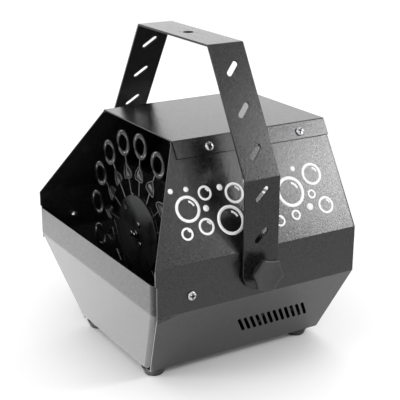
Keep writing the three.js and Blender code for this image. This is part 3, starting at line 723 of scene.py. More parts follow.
def upright_plate(name, outline, holes, rear_y, thickness, rim=0.25):
    """A flat plate in X and Z whose rear face is at rear_y."""
    bm = flat_sheet(outline, holes)
    bmesh.ops.dissolve_limit(bm, angle_limit=math.radians(1), verts=bm.verts, edges=bm.edges)
    for vert in bm.verts:
        vert.co = (vert.co.x, rear_y, vert.co.y)
    bmesh.ops.reverse_faces(bm, faces=bm.faces)
    bm.normal_update()
    if bm.faces[:][0].normal.y < 0:
        bmesh.ops.reverse_faces(bm, faces=bm.faces)
    return sheet_metal(to_mesh(bm, name), thickness, rim)


def rear_panel():
    holes = [circle(centre, SCREW_HOLE) for centre in REAR_SCREWS]
    for i in range(VENT_COUNT):
        x = (i - (VENT_COUNT - 1) / 2) * VENT_PITCH
        holes.append(slot((x, REAR_VENT_Z[0]), (x, REAR_VENT_Z[1]), VENT_HALF_WIDTH, steps=6))
    for centre, size in ((INLET, INLET_SIZE), (SWITCH, SWITCH_SIZE)):
        half = (size[0] / 2 - CUTOUT_MARGIN, size[1] / 2 - CUTOUT_MARGIN)
        holes.append(rounded_rectangle(
            (centre[0] - half[0], centre[1] - half[1]), (centre[0] + half[0], centre[1] + half[1]), 1.0))
    return upright_plate("rear_panel", inset(SECTION, GAP), holes, REAR_Y, SHEET)


def fan_plate():
    floor_z = BASE_Z + 2 * SHEET + 2 * GAP
    section = [(x, max(z, floor_z)) for x, z in inset(SECTION, SHEET + GAP)]
    return upright_plate("fan_plate", section, [circle((0, FAN_Z), FAN_BORE, 64)], FAN_PLATE_Y + SHEET, SHEET)


def motor_plate():
    """A plate across the case with its top edge folded forward."""
    section = inset(SECTION, SHEET + GAP)
    low_z, top_z = section[0][1], MOTOR_PLATE_TOP_Z
    band_half = section[2][0]
    slope = (section[4][0] - section[3][0]) / (section[4][1] - section[3][1])
    top_half = band_half + slope * (top_z - section[3][1])
    path = [(MOTOR_PLATE_Y, low_z), (MOTOR_PLATE_Y, top_z), (MOTOR_PLATE_Y - MOTOR_PLATE_SHELF, top_z)]
    height = top_z - low_z
    half_outline = [
        (0, section[1][0]), (section[2][1] - low_z, band_half), (section[3][1] - low_z, band_half),
        (height, top_half), (height + MOTOR_PLATE_SHELF, top_half),
    ]
    outline = half_outline + [(s, -x) for s, x in reversed(half_outline)]
    bm = flat_sheet(outline, [circle((HUB_Z - low_z, 0), MOTOR_PLATE_BORE)])
    fold(bm, path, BEND, lambda point, x: Vector((x, point[0], point[1])))
    bm.normal_update()
    lowest = min(bm.faces, key=lambda f: f.calc_center_median().z)
    if lowest.normal.y > 0:
        bmesh.ops.reverse_faces(bm, faces=bm.faces)
    return sheet_metal(to_mesh(bm, "motor_plate"))


def tank_level(z, inward, front):
    """One level of the tank's outside: front corners rounded, rear corners nearly square."""
    points = []
    right, left = TANK_HALF - inward, inward - TANK_LEFT_HALF
    corners = (
        (right, front, TANK_CORNER, -0.5), (right, TANK_REAR_Y, TANK_REAR_CORNER, 0.0),
        (left, TANK_REAR_Y, TANK_REAR_CORNER, 0.5), (left, front, TANK_LEFT_CORNER, 1.0),
    )
    for x, y, radius, half_turns in corners:
        centre_x = x - math.copysign(radius, x)
        centre_y = y + radius if y == front else y - radius
        for point_x, point_y in arc((centre_x, centre_y), radius, math.pi * half_turns, math.pi / 2, 8):
            at_rear = point_y > TANK_REAR_Y - TANK_REAR_CORNER_REACH
            points.append((point_x, point_y, min(z, TANK_REAR_WALL_Z) if at_rear else z))
    return points


def tank_tray():
    """A folded tub with rounded front corners, whose walls turn upright at the band."""
    side = (BAND_HALF - BASE_HALF) / (BAND_LOW_Z - BASE_Z)
    front = (FRONT_BAND_Y - FRONT_BASE_Y) / (BAND_LOW_Z - BASE_Z)
    floor_z = BASE_Z + SHEET + GAP
    fold_z = BAND_LOW_Z + (BAND_HALF - TANK_HALF) * math.tan(math.atan(side) / 2)
    soft = TANK_FOLD_REACH
    heights = [floor_z + rise for rise in (0, 0.3, 0.9, TANK_FLOOR_RADIUS)]
    heights += [fold_z + soft * (i / 3 - 1) for i in range(7)]
    levels = []
    for z in [*heights, TANK_REAR_WALL_Z, LIP_Z]:
        drop = fold_z - z
        if abs(drop) < soft:
            drop = (drop + soft) ** 2 / (4 * soft)
        drop = max(drop, 0)
        rounding = max(0, TANK_FLOOR_RADIUS - (z - floor_z))
        pull = TANK_FLOOR_RADIUS - math.sqrt(TANK_FLOOR_RADIUS ** 2 - rounding ** 2)
        levels.append(tank_level(z, side * drop + pull, FRONT_BAND_Y - front * drop + pull))
    bm = bmesh.new()
    loft(bm, levels, cap_first=True, cap_last=False)
    bmesh.ops.remove_doubles(bm, verts=bm.verts, dist=0.01)
    bmesh.ops.recalc_face_normals(bm, faces=bm.faces)
    return sheet_metal(to_mesh(bm, "tank_tray"))


def foot():
    """A tapered rubber foot with a rounded tread and a screw well below."""
    return turned("foot", [
        (0, 2.6), (3.4, 2.6), (3.6, 0.3), (4.2, 0.0), (FOOT_BASE_RADIUS - 1.0, 0.0),
        (FOOT_BASE_RADIUS - 0.25, 0.3), (FOOT_BASE_RADIUS, 0.9), (FOOT_TOP_RADIUS - 0.5, 6.4),
        (FOOT_TOP_RADIUS, 7.0), (FOOT_TOP_RADIUS, 7.6), (FOOT_TOP_RADIUS - 0.3, 7.9), (0, 7.9),
    ], 50, axis="Z", steps=40)


def build_case():
    for side, sign in (("right", 1), ("left", -1)):
        show(f"shell_panel_{side}", side_shell(side, sign), "case", COAT, f"side_shell_{side}")
    for name, build, node in (
            ("cover_panel", top_cover, "top_cover"), ("rear_plate", rear_panel, "rear_panel"),
            ("fan_partition", fan_plate, "fan_plate"), ("motor_partition", motor_plate, "motor_plate"),
            ("tank_tub", tank_tray, "tank_tray")):
        show(name, build(), "case", COAT, node)
    tread = foot()
    for end, y in zip(("front", "rear"), FOOT_Y):
        for side, x in (("left", -FOOT_X), ("right", FOOT_X)):
            piece = show(f"rubber_foot_{end}_{side}", tread, "case", RUBBER, f"foot_{end}_{side}")
            piece.location = (x * MM, y * MM, 0)


# ------------------------------------------------------------------ screws

def cut_with(mesh, cutter):
    """The mesh with another mesh's solid taken away."""
    tool = bpy.data.objects.new("cutter", cutter)
    bpy.context.scene.collection.objects.link(tool)
    bpy.context.view_layer.update()
    made = with_modifiers(mesh, ("BOOLEAN", {"operation": "DIFFERENCE", "object": tool, "solver": "EXACT"}))
    bpy.data.objects.remove(tool)
    return made


def cross_outline(reach, half_width):
    points = []
    for quarter in range(4):
        for a, b in ((reach, -half_width), (reach, half_width), (half_width, half_width)):
            for _ in range(quarter):
                a, b = -b, a
            points.append((a, b))
    return points


def cross_recess(reach, half_width, depth, top):
    """A tapered cross whose narrow end points to +Y, cut from the crown at y = -top."""
    bm = bmesh.new()
    outline = cross_outline(reach, half_width)
    loft(bm, [at_depth(outline, y, scale) for y, scale in ((-top - 1, 1.1), (-top + depth, 0.55))])
    return closed_mesh(bm, "cross_recess", 35)


def pan_screw(name, radius, height, shank, length, finish=ZINC):
    """A cross-recessed pan-head screw along Y, its head towards -Y from y = 0."""
    profile = [(0, -height)]
    for i in range(1, 8):
        turn = math.pi / 2 * i / 7
        profile.append((radius * math.sin(turn) ** 0.8, -height * (0.22 + 0.78 * math.cos(turn) ** 0.7)))
    profile += [(radius, -0.12), (radius - 0.12, 0)]
    y = 0.4
    profile.append((shank, 0))
    while y + THREAD_PITCH < length:
        profile += [(shank, y), (shank - THREAD_DEPTH, y + THREAD_PITCH / 2)]
        y += THREAD_PITCH
    profile += [(shank, y), (shank - 0.5, length), (0, length)]
    head = turned(name, profile, steps=32)
    made = cut_with(head, cross_recess(radius * 0.74, radius * 0.19, height * 0.90, height))
    made = sharpen(made, 40)
    made.materials.append(finish[0])
    # The second material paints shade into the recess walls and floor.
    made.materials.append(RECESS_SHADE)
    for polygon in made.polygons:
        across_head = math.hypot(polygon.center.x, polygon.center.z)
        is_wall = abs(polygon.normal.y) < 0.6
        is_floor = polygon.center.y > -0.6 * height * MM
        if across_head < radius * 0.76 * MM and (is_wall or is_floor) and polygon.center.y < 0:
            polygon.material_index = 1
    return made


def place_screw(piece, outward, at):
    """Turns a screw so that its head looks along outward."""
    turn = Vector((0, -1, 0)).rotation_difference(Vector(outward)).to_matrix().to_4x4()
    piece.matrix_basis = Matrix.Translation(Vector(at) * MM) @ turn


def on_upper_slope(down):
    corner = TOP_HALF + (SHEET + GAP) / math.cos(UPPER_TILT)
    return corner + down * math.sin(UPPER_TILT), TOP_Z - down * math.cos(UPPER_TILT)


def cap_nut():
    """A small domed nut with its flat face at y = 0 and its dome towards +Y."""
    bm = bmesh.new()
    hexagon = [(4.0 * math.sin(math.pi / 3 * i), 4.0 * math.cos(math.pi / 3 * i)) for i in range(6)]
    levels = ((0, 0.9), (0.35, 1), (2.0, 1), (2.4, 0.88))
    loft(bm, [at_depth(hexagon, y, scale) for y, scale in levels])
    turns = [math.pi / 2 * i / 6 for i in range(7)]
    dome = [(3.2 * math.cos(turn), 2.2 + 1.9 * math.sin(turn)) for turn in turns]
    lathe(bm, [(3.2, 2.2), *dome], steps=24)
    return closed_mesh(bm, "cap_nut", 40)


def build_screws():
    screw = pan_screw("pan_screw", SCREW_HEAD_RADIUS, SCREW_HEAD_HEIGHT, SCREW_SHANK_RADIUS, 7.0)
    x, z = on_upper_slope(COVER_SCREW_DOWN)
    slope = (math.cos(UPPER_TILT), math.sin(UPPER_TILT))
    nut = cap_nut()
    for side, sign in (("left", -1), ("right", 1)):
        for i, y in enumerate(COVER_SCREW_Y):
            piece = show(f"pan_screw_cover_{side}_{i + 1}", screw, "case", ZINC,
                         f"cover_screw_{side}_{i + 1}")
            place_screw(piece, (sign * slope[0], 0, slope[1]), (sign * (x + SCREW_LIFT), y, z))
        piece = show(f"pan_screw_side_{side}", screw, "case", ZINC, f"side_screw_{side}")
        place_screw(piece, (sign, 0, 0), (sign * (BAND_HALF + SCREW_LIFT), *SIDE_SCREW))
        piece = show(f"cap_nut_{side}", nut, "case", ZINC)
        place_screw(piece, (sign, 0, 0), (sign * (TANK_HALF - SHEET - 0.05), *SIDE_SCREW))
    for i, (x, z) in enumerate(REAR_SCREWS):
        piece = show(f"pan_screw_rear_{i + 1}", screw, "case", ZINC, f"rear_screw_{i + 1}")
        place_screw(piece, (0, 1, 0), (x, REAR_Y + SCREW_LIFT, z))


# ------------------------------------------------------------------ wand wheel

def wand_ring(bm):
    """The ribbed ring: a rounded section whose radii and faces rise and fall with every rib."""
    middle, half_width = (RING_OUTER + RING_INNER) / 2, (RING_OUTER - RING_INNER) / 2
    loops = []
    steps = RING_RIBS * 4
    for i in range(steps):
        turn = 2 * math.pi * i / steps
        rib = 0.5 + 0.5 * math.cos(turn * RING_RIBS)
        loop = []
        for k in range(14):
            phase = 2 * math.pi * k / 14
            corner = (abs(math.cos(phase)) ** 3 + abs(math.sin(phase)) ** 3) ** (-1 / 3)
            radius = middle + (half_width - RIB_HEIGHT * (1 - rib)) * corner * math.cos(phase)
            depth = (RING_DEPTH / 2 - 0.7 * RIB_HEIGHT * (1 - rib)) * corner * math.sin(phase)
            loop.append((radius * math.sin(turn), depth, RING_CENTRE + radius * math.cos(turn)))
        loops.append(loop)
    loft(bm, loops, closed=True)


def rounded_corners(points, radii, steps=6):
    """A polygon whose corners become arcs, each touching both of its sides."""
    outline = []
    for i, (point, radius) in enumerate(zip(points, radii)):
        corner = Vector(point)
        before = (Vector(points[i - 1]) - corner).normalized()
        after = (Vector(points[(i + 1) % len(points)]) - corner).normalized()
        half = before.angle(after) / 2
        centre = corner + (before + after).normalized() * (radius / math.sin(half))
        start = corner + before * (radius / math.tan(half)) - centre
        end = corner + after * (radius / math.tan(half)) - centre
        turn = math.atan2(start.x * end.y - start.y * end.x, start.dot(end))
        for k in range(steps + 1):
            cos, sin = math.cos(turn * k / steps), math.sin(turn * k / steps)
            outline.append((
                centre.x + start.x * cos - start.y * sin, centre.y + start.x * sin + start.y * cos))
    return outline


def paddle_outline(inward):
    """A pick: a point towards the ring, slightly full sides and a wide base with round corners."""
    shape = [(PADDLE_HALF, PADDLE_BASE), (PADDLE_HALF - 1.4, PADDLE_SHOULDER + 4.5), (0, PADDLE_TIP + 1.0),
             (1.4 - PADDLE_HALF, PADDLE_SHOULDER + 4.5), (-PADDLE_HALF, PADDLE_BASE)]
    return inset(rounded_corners(shape, (2.6, 8.0, 1.2, 8.0, 2.6)), inward)


def wand_paddle(bm):
    """A scoop: a raised rim round a recessed face, open to the front."""
    half = PADDLE_DEPTH / 2
    rings = ((0.8, half), (0, half - 0.5), (0, 0.4 - half), (0.35, -half), (0.9, -half),
             (1.2, 0.4 - half), (1.35, 1.5 - half), (1.9, 1.9 - half))
    loft(bm, [at_depth(paddle_outline(inward), y) for inward, y in rings])


def bar(bm, low, high, half_width, half_depth):
    """A straight bar with rounded edges along Z."""
    section = rounded_rectangle((-half_width, -half_depth), (half_width, half_depth),
                                min(half_width, half_depth) * 0.6, steps=3)
    loft(bm, [[(a, b, z) for a, b in section] for z in (low, high)])


def wand():
    bm = bmesh.new()
    wand_ring(bm)
    wand_paddle(bm)
    bar(bm, HUB_RADIUS + 0.5, PADDLE_BASE + 1.0, SPOKE_HALF, SPOKE_HALF)
    bar(bm, PADDLE_TIP - 2.0, RING_CENTRE - RING_OUTER + 1.2, SPOKE_HALF, SPOKE_HALF)
    bar(bm, SPOKE_START, HUB_RADIUS + 1.5, SPOKE_HALF, SPOKE_THIN_HALF)
    bar(bm, SPOKE_START, SPOKE_START + 5.0, 2 * SPOKE_HALF, SPOKE_THIN_HALF)
    return closed_mesh(bm, "wand", 45)


def polar(radius, degrees):
    turn = math.radians(degrees)
    return radius * math.sin(turn), HUB_Z + radius * math.cos(turn)


def hub_front():
    """The front disc: a rounded edge, a shallow step and a raised boss round the shaft."""
    front, back = WHEEL_Y - HUB_HALF_DEPTH, WHEEL_Y - HUB_HALF_DEPTH + HUB_DISC
    return turned("hub_front", [
        (HUB_BORE, front + 0.05), (5.2, front + 0.05), (5.5, front + 0.2), (16.5, front + 0.2),
        (17.0, front + 0.35), (HUB_RADIUS - 1.2, front + 0.35), (HUB_RADIUS - 0.3, front + 0.5),
        (HUB_RADIUS, front + 0.8), (HUB_RADIUS - 0.1, back), (HUB_BORE, back),
    ], 40, steps=96, centre=(0, 0, HUB_Z))


def hub_rear():
    front, back = WHEEL_Y + HUB_HALF_DEPTH - HUB_DISC, WHEEL_Y + HUB_HALF_DEPTH
    return turned("hub_rear", [
        (HUB_BORE, front), (HUB_RADIUS - 0.2, front), (HUB_RADIUS, front + 0.3), (HUB_RADIUS, back - 0.3),
        (HUB_RADIUS - 0.3, back), (9.0, back), (7.0, back + 1.5), (7.0, back + 8.6), (6.6, back + 9.0),
        (HUB_BORE, back + 9.0),
    ], 40, steps=96, centre=(0, 0, HUB_Z))


def hub_marks(front):
    """A small nib on the rim and a round sink mark on the front disc."""
    bm = bmesh.new()
    x, z = polar(HUB_RADIUS + 0.6, NIB_DEGREES)
    nib = [(0, front - 0.2), (1.4, front - 0.2), (1.8, front + 0.2), (1.8, front + 1.4), (0, front + 1.4)]
    lathe(bm, nib, steps=20, centre=(x, 0, z))
    x, z = polar(*SINK_MARK)
    lathe(bm, [(0, front + 0.15), (3.4, front + 0.15), (3.8, front - 0.05), (4.3, front - 0.05),
               (4.7, front + 0.3), (0, front + 0.3)], steps=28, centre=(x, 0, z))
    return to_mesh(bm, "hub_marks", 40)


def shaft():
    front, back = WHEEL_Y - HUB_HALF_DEPTH - 4, MOTOR_PLATE_Y + 8
    profile = [(0, front), (2.0, front), (SHAFT_RADIUS, front + 0.45), (SHAFT_RADIUS, back)]
    return turned("shaft", profile, 40, steps=24, centre=(0, 0, HUB_Z))


def hex_nut(across_corners, height):
    bm = bmesh.new()
    radius = across_corners / 2
    loops = []
    for scale, y in ((0.86, -height), (1, -height + 0.35), (1, -0.35), (0.86, 0)):
        reach = radius * scale
        turns = [math.pi / 3 * i for i in range(6)]
        loops.append([(reach * math.sin(turn), y, reach * math.cos(turn)) for turn in turns])
    loft(bm, loops)
    return closed_mesh(bm, "hex_nut", 25)


def build_wheel():
    front = WHEEL_Y - HUB_HALF_DEPTH
    show("hub_disc_front", hub_front(), "wand_wheel", HUB_SHADED_GLOSS, "hub_front_disc")
    show("hub_disc_rear", hub_rear(), "wand_wheel", GLOSS, "hub_rear_disc")
    show("hub_marks", hub_marks(front), "wand_wheel", HUB_SHADED_GLOSS)
    show("drive_shaft", shaft(), "wand_wheel", SHADED_ZINC, "wheel_shaft")
    nut = show("shaft_hex_nut", hex_nut(8.4, 1.8), "wand_wheel", SHADED_ZINC, "shaft_nut")
    nut.location = (0, (front - SCREW_LIFT) * MM, HUB_Z * MM)
    screw = pan_screw("hub_pan_screw", 3.1, 1.3, 1.5, 6.0, SHADED_ZINC)
    for i, degrees in enumerate(HUB_SCREW_DEGREES):
        x, z = polar(HUB_SCREW_CIRCLE, degrees)
        piece = show(f"hub_pan_screw_{i + 1}", screw, "wand_wheel", SHADED_ZINC, f"hub_screw_{i + 1}")
        piece.location = (x * MM, (front - SCREW_LIFT) * MM, z * MM)
    shape = wand()
    for i in range(WAND_COUNT):
        number = f"{i + 1:02d}"
        piece = show(f"ring_wand_{number}", shape, "wand_wheel", GLOSS, f"wand_{number}")
        turn = Matrix.Rotation(math.radians(FIRST_WAND_DEG + i * 360 / WAND_COUNT), 4, "Y")
        piece.matrix_basis = Matrix.Translation(Vector((0, WHEEL_Y, HUB_Z)) * MM) @ turn


# ------------------------------------------------------------------ bracket and knobs

def handle_bracket():
    path = [
        (BRACKET_HALF, PIVOT_Z - BRACKET_WIDTH / 2), (BRACKET_HALF, BRACKET_BEND_Z),
        (BRACKET_TOP_HALF, BRACKET_TOP_Z), (-BRACKET_TOP_HALF, BRACKET_TOP_Z),
        (-BRACKET_HALF, BRACKET_BEND_Z), (-BRACKET_HALF, PIVOT_Z - BRACKET_WIDTH / 2),
    ]
    length = path_lengths(path)[-1]
    half = BRACKET_WIDTH / 2
    pivots = ((half, PIVOT_Y), (length - half, PIVOT_Y))
    outline = []
    for (along, y), first in zip(pivots, (math.pi / 2, -math.pi / 2)):
        outline += arc((along, y), half, first, math.pi, 24)
    holes = [circle(pivot, STUD_HOLE, 40) for pivot in pivots]
    holes.append(circle((length / 2, PIVOT_Y), HOOK_HOLE_RADIUS, 40))
    step = SLOT_LENGTH / 2 * math.sqrt(0.5)
    for i in range(SLOT_COUNT):
        along = half + SLOT_FIRST + i * SLOT_SPACING
        holes.append(slot((along - step, PIVOT_Y - step), (along + step, PIVOT_Y + step), SLOT_HALF_WIDTH))
        along = length - along
        holes.append(slot((along + step, PIVOT_Y - step), (along - step, PIVOT_Y + step), SLOT_HALF_WIDTH))
    bm = fold(flat_sheet(outline, holes), path, BRACKET_BEND, across, steps=8)
    bmesh.ops.reverse_faces(bm, faces=bm.faces)
    return sheet_metal(to_mesh(bm, "handle_bracket"), BRACKET_SHEET, 0.35)


def lobed_outline(inward=0.0):
    """Six corners joined by slightly hollow sides, in Y and Z about the pivot."""
    reach = KNOB_LOBE_RADIUS - KNOB_CORNER_RADIUS - inward

    def on_corner(corner, turn):
        return (reach * math.cos(corner) + KNOB_CORNER_RADIUS * math.cos(turn),
                reach * math.sin(corner) + KNOB_CORNER_RADIUS * math.sin(turn))

    points = []
    pull = 2 * (KNOB_WAIST_RADIUS - inward) - (KNOB_LOBE_RADIUS - inward) * math.cos(math.pi / 6)
    for i in range(6):
        corner, following = math.radians(60 * i - KNOB_TURNED), math.radians(60 * i + 60 - KNOB_TURNED)
        for k in range(3):
            points.append(on_corner(corner, corner + math.radians(KNOB_CORNER_REACH * (k - 1))))
        start = points[-1]
        end = on_corner(following, following - math.radians(KNOB_CORNER_REACH))
        middle = (corner + following) / 2
        for k in range(1, 8):
            t = k / 8
            points.append(tuple(
                (1 - t) ** 2 * a + 2 * t * (1 - t) * pull * c + t * t * b
                for a, b, c in zip(start, end, (math.cos(middle), math.sin(middle)))))
    return points


def knob():
    """A six-cornered knob with chamfered edges, a dished face and a round neck."""
    back, face = KNOB_FACE_X - KNOB_HEAD, KNOB_FACE_X
    edge = 0.9
    levels = (
        (back, 1.4), (back + 0.5, 0.3), (back + 1.2, 0), (face - 1.1, 0), (face - 0.35, 0.25), (face, edge),
    )
    loops = [[(x, PIVOT_Y + a, PIVOT_Z + b) for a, b in lobed_outline(inward)] for x, inward in levels]
    for radius, x in ((11.2, face), (10.4, face - 0.12), (9.0, face - 0.45), (4.0, face - 0.6)):
        loop = []
        for a, b in lobed_outline(edge):
            turn = math.atan2(b, a)
            loop.append((x, PIVOT_Y + radius * math.cos(turn), PIVOT_Z + radius * math.sin(turn)))
        loops.append(loop)
    bm = bmesh.new()
    loft(bm, loops)
    neck = [
        (4.4, BRACKET_HALF + GAP), (8.1, BRACKET_HALF + GAP), (KNOB_NECK_RADIUS, BRACKET_HALF + 0.7),
        (KNOB_NECK_RADIUS, back - 3), (11.5, back + 0.3), (4.4, back + 0.3),
    ]
    lathe(bm, neck, steps=40, axis="X", centre=(0, PIVOT_Y, PIVOT_Z))
    return closed_mesh(bm, "knob", 28)


def washer():
    low, high = BAND_HALF + GAP, BRACKET_HALF - BRACKET_SHEET - GAP
    rim = WASHER_RADIUS - 0.2
    profile = [
        (STUD_HOLE, low), (rim, low), (WASHER_RADIUS, low + 0.3), (WASHER_RADIUS, high - 0.3), (rim, high),
        (STUD_HOLE, high), (STUD_HOLE, low),
    ]
    return turned("washer", profile, 40, steps=40, axis="X", centre=(0, PIVOT_Y, PIVOT_Z))


def build_bracket():
    show("bracket_strip", handle_bracket(), "bracket", BRACKET_COAT, "handle_bracket")
    shape, ring = knob(), washer()
    for side, knob_mesh, ring_mesh in (
            ("right", shape, ring),
            ("left", mirrored(shape, "knob_left"), mirrored(ring, "washer_left"))):
        show(f"clamp_knob_{side}", knob_mesh, f"knob_{side}", MOULDED, f"knob_{side}")
        show(f"rubber_washer_{side}", ring_mesh, "case", RUBBER, f"friction_washer_{side}")


# ------------------------------------------------------------------ fan

def fan_blade():
    """A twisted blade, thickened by a modifier."""
    bm = bmesh.new()
    rows = []
    for i in range(9):
        share = i / 8
        radius = BLADE_ROOT + share * (FAN_BORE - BLADE_TIP_GAP - BLADE_ROOT)
        pitch = math.radians(BLADE_ROOT_PITCH - BLADE_TWIST * share)
        row = []
        for k in range(9):
            t = k / 8 - 0.5
            chord = (BLADE_ROOT_CHORD + BLADE_CHORD_GROWTH * share) * t
            camber = BLADE_CAMBER * (0.25 - t * t)
            sweep = math.radians(BLADE_SWEEP) * share
            across_wheel = chord * math.cos(pitch) - camber * math.sin(pitch)
            along_axis = chord * math.sin(pitch) + camber * math.cos(pitch)
            turn = across_wheel / radius + sweep
            row.append(bm.verts.new((radius * math.sin(turn), along_axis, radius * math.cos(turn))))
        rows.append(row)
    for low, high in zip(rows, rows[1:]):
        for k in range(8):
            bm.faces.new((low[k], low[k + 1], high[k + 1], high[k]))
    thickness = ("SOLIDIFY", {"thickness": BLADE_THICKNESS * MM, "offset": 0.0})
    return with_modifiers(to_mesh(bm, "fan_blade"), thickness, bevel(0.3))


def fan_rotor():
    blade = fan_blade()
    bm = bmesh.new()
    for i in range(FAN_BLADES):
        part = bmesh.new()
        part.from_mesh(blade)
        bmesh.ops.rotate(part, verts=part.verts, matrix=Matrix.Rotation(2 * math.pi * i / FAN_BLADES, 3, "Y"))
        bmesh.ops.scale(part, vec=(1 / MM, 1 / MM, 1 / MM), verts=part.verts)
        absorb(bm, part)
    hub, nose = ROTOR_HUB_RADIUS, 9.2
    lathe(bm, [(0, -nose), (12, -nose), (hub - 1.1, -8.8), (hub - 0.2, -7.8), (hub, -6), (hub, 9.6),
               (hub - 0.5, 10), (0, 10)], steps=48)
    middle = FAN_FRONT_Y + FAN_DEPTH / 2 - 0.5
    bmesh.ops.translate(bm, vec=(0, middle, FAN_Z), verts=bm.verts)
    return to_mesh(bm, "fan_rotor", 40)


def fan_frame():
    half = FAN_SIDE / 2
    corner = half - 5
    holes = [circle((0, 0), FAN_BORE, 72)]
    holes += [circle((sx * corner, sz * corner), SCREW_HOLE, 20) for sx in (-1, 1) for sz in (-1, 1)]
    square = rounded_rectangle((-half, -half), (half, half), 4.5)
    bm = bmesh.new()
    for rear_y in (FAN_FRONT_Y + FAN_FLANGE, FAN_FRONT_Y + FAN_DEPTH):
        part = from_mesh(upright_plate("fan_flange", square, holes, rear_y, FAN_FLANGE, rim=0.4))
        bmesh.ops.translate(part, vec=(0, 0, FAN_Z), verts=part.verts)
        absorb(bm, part)
    front, rear = FAN_FRONT_Y + 3, FAN_FRONT_Y + FAN_DEPTH - 3
    outer = FAN_BORE + FAN_WALL
    wall = [(FAN_BORE, front), (outer, front), (outer, rear), (FAN_BORE, rear), (FAN_BORE, front)]
    lathe(bm, wall, steps=72, centre=(0, 0, FAN_Z))
    back = FAN_FRONT_Y + FAN_DEPTH
    motor = [
        (0, back - 2), (18.6, back - 2), (FAN_MOTOR_RADIUS, back - 1.6), (FAN_MOTOR_RADIUS, back), (0, back),
    ]
    lathe(bm, motor, steps=40, centre=(0, 0, FAN_Z))
    for degrees in (45, 135, 225, 315):
        turn = Matrix.Rotation(math.radians(degrees), 3, "Y")
        loops = []
        for reach in (18, FAN_BORE + 0.8):
            section = ((-2.5, back - 2), (2.5, back - 2), (2.0, back), (-2.0, back))
            loops.append([turn @ Vector((a, y, reach)) + Vector((0, 0, FAN_Z)) for a, y in section])
        loft(bm, loops)
    return closed_mesh(bm, "fan_frame", 40)


def build_fan():
    show("fan_housing", fan_frame(), "case", MOULDED, "fan_frame")
    show("fan_impeller", fan_rotor(), "fan", MOULDED, "fan_rotor")


# ------------------------------------------------------------------ mains parts on the rear

def around(centre, width, height, shift=0.0):
    """Low and high corners of a rectangle about a centre, moved up by shift."""
    x, z = centre[0], centre[1] + shift
    return (x - width / 2, z - height / 2), (x + width / 2, z + height / 2)


def shrunk(low, high, by):
    """A rectangle's corners, each moved inwards."""
    return (low[0] + by, low[1] + by), (high[0] - by, high[1] - by)


SOCKET = [(-12, -19), (12, -19), (12, -7), (8, -2), (-8, -2), (-12, -7)]
DRAWER_SIZE = (22.0, 13.0)
DRAWER_ABOVE = 10.5


def well(bm, loop, front, back):
    """The walls and floor of a hole, seen from its mouth."""
    loft(bm, [at_depth(loop, y) for y in (front, back)], cap_first=False)


def power_inlet():
    socket = [(INLET[0] + a, INLET[1] + b) for a, b in SOCKET]
    drawer = rounded_rectangle(*around(INLET, *DRAWER_SIZE, DRAWER_ABOVE), 0.6, steps=2)
    front = REAR_Y + INLET_FLANGE
    plate = upright_plate("inlet_flange", rounded_rectangle(*around(INLET, *INLET_SIZE), 3.0),
                          [socket, drawer], front, INLET_FLANGE - GAP, rim=0.5)
    bm = from_mesh(plate)
    well(bm, socket[::-1], front - WELL_STEP, REAR_Y - SOCKET_DEPTH)
    well(bm, drawer[::-1], front - WELL_STEP, REAR_Y - DRAWER_WELL)
    low, high = around(INLET, INLET_SIZE[0] - 4, INLET_SIZE[1] - 4)
    outer = rounded_rectangle(low, high, 1.0, steps=2)
    well(bm, outer, REAR_Y, REAR_Y - INLET_DEPTH)
    return to_mesh(bm, "power_inlet", 30)


def inlet_pins():
    """Three flat blades: two below and one above them in the middle."""
    bm = bmesh.new()
    for x, z in ((-7, -13.5), (7, -13.5), (0, -8)):
        low, high = around((INLET[0] + x, INLET[1] + z), 2.0, 4.2)
        loops = []
        for y, shrink in ((REAR_Y - SOCKET_DEPTH, 0), (REAR_Y - 1.5, 0), (REAR_Y - 0.5, 0.5)):
            loops.append(at_depth(rounded_rectangle(*shrunk(low, high, shrink), 0.3, steps=2), y))
        loft(bm, loops)
    return closed_mesh(bm, "inlet_pins", 30)


def fuse_drawer():
    """The drawer's front has a raised lip at its lower edge to pull it out by."""
    low, high = around(INLET, DRAWER_SIZE[0] - 2 * GAP, DRAWER_SIZE[1] - 2 * GAP, DRAWER_ABOVE)
    front = REAR_Y + INLET_FLANGE
    bm = bmesh.new()
    levels = ((REAR_Y - 19, 0), (front - 0.9, 0), (front - 0.35, 0.15), (front - 0.2, 0.5))
    loft(bm, [at_depth(rounded_rectangle(*shrunk(low, high, by), 0.5, steps=2), y) for y, by in levels])
    middle = (low[0] + high[0]) / 2
    box(bm, (middle - 5, front - 1.0, low[1] + 1.2), (middle + 5, front, low[1] + 2.4))
    box(bm, (middle - 8, front - 1.0, high[1] - 3.0), (middle + 8, front - 0.05, high[1] - 2.4))
    return closed_mesh(bm, "fuse_drawer", 30)


def switch_frame():
    opening = rounded_rectangle(*around(SWITCH, *SWITCH_OPENING), 0.5, steps=2)
    front = REAR_Y + SWITCH_FLANGE
    plate = upright_plate("switch_flange", rounded_rectangle(*around(SWITCH, *SWITCH_SIZE), 1.5),
                          [opening], front, SWITCH_FLANGE - GAP, rim=0.5)
    bm = from_mesh(plate)
    well(bm, opening[::-1], front - WELL_STEP, REAR_Y - SWITCH_DEPTH)
    return to_mesh(bm, "switch_frame", 30)


def rocker_shape(half_width):
    """The rocker's side outline, hollowed where a finger presses."""
    front = []
    for i in range(15):
        t = i / 14 * 2 - 1
        front.append((1.4 + 1.6 * abs(t) ** 1.5 - (0.6 if abs(t) > 0.96 else 0), 8.1 * t))
    outline = [(-5, -4), *front, (-5, 4)]
    turn = Matrix.Rotation(-math.radians(ROCKER_TILT), 3, "X")
    loops = []
    for x, scale in ((-half_width, 0.97), (0.4 - half_width, 1), (half_width - 0.4, 1), (half_width, 0.97)):
        loops.append([turn @ Vector((x, a * scale, b * scale)) for a, b in outline])
    return loops


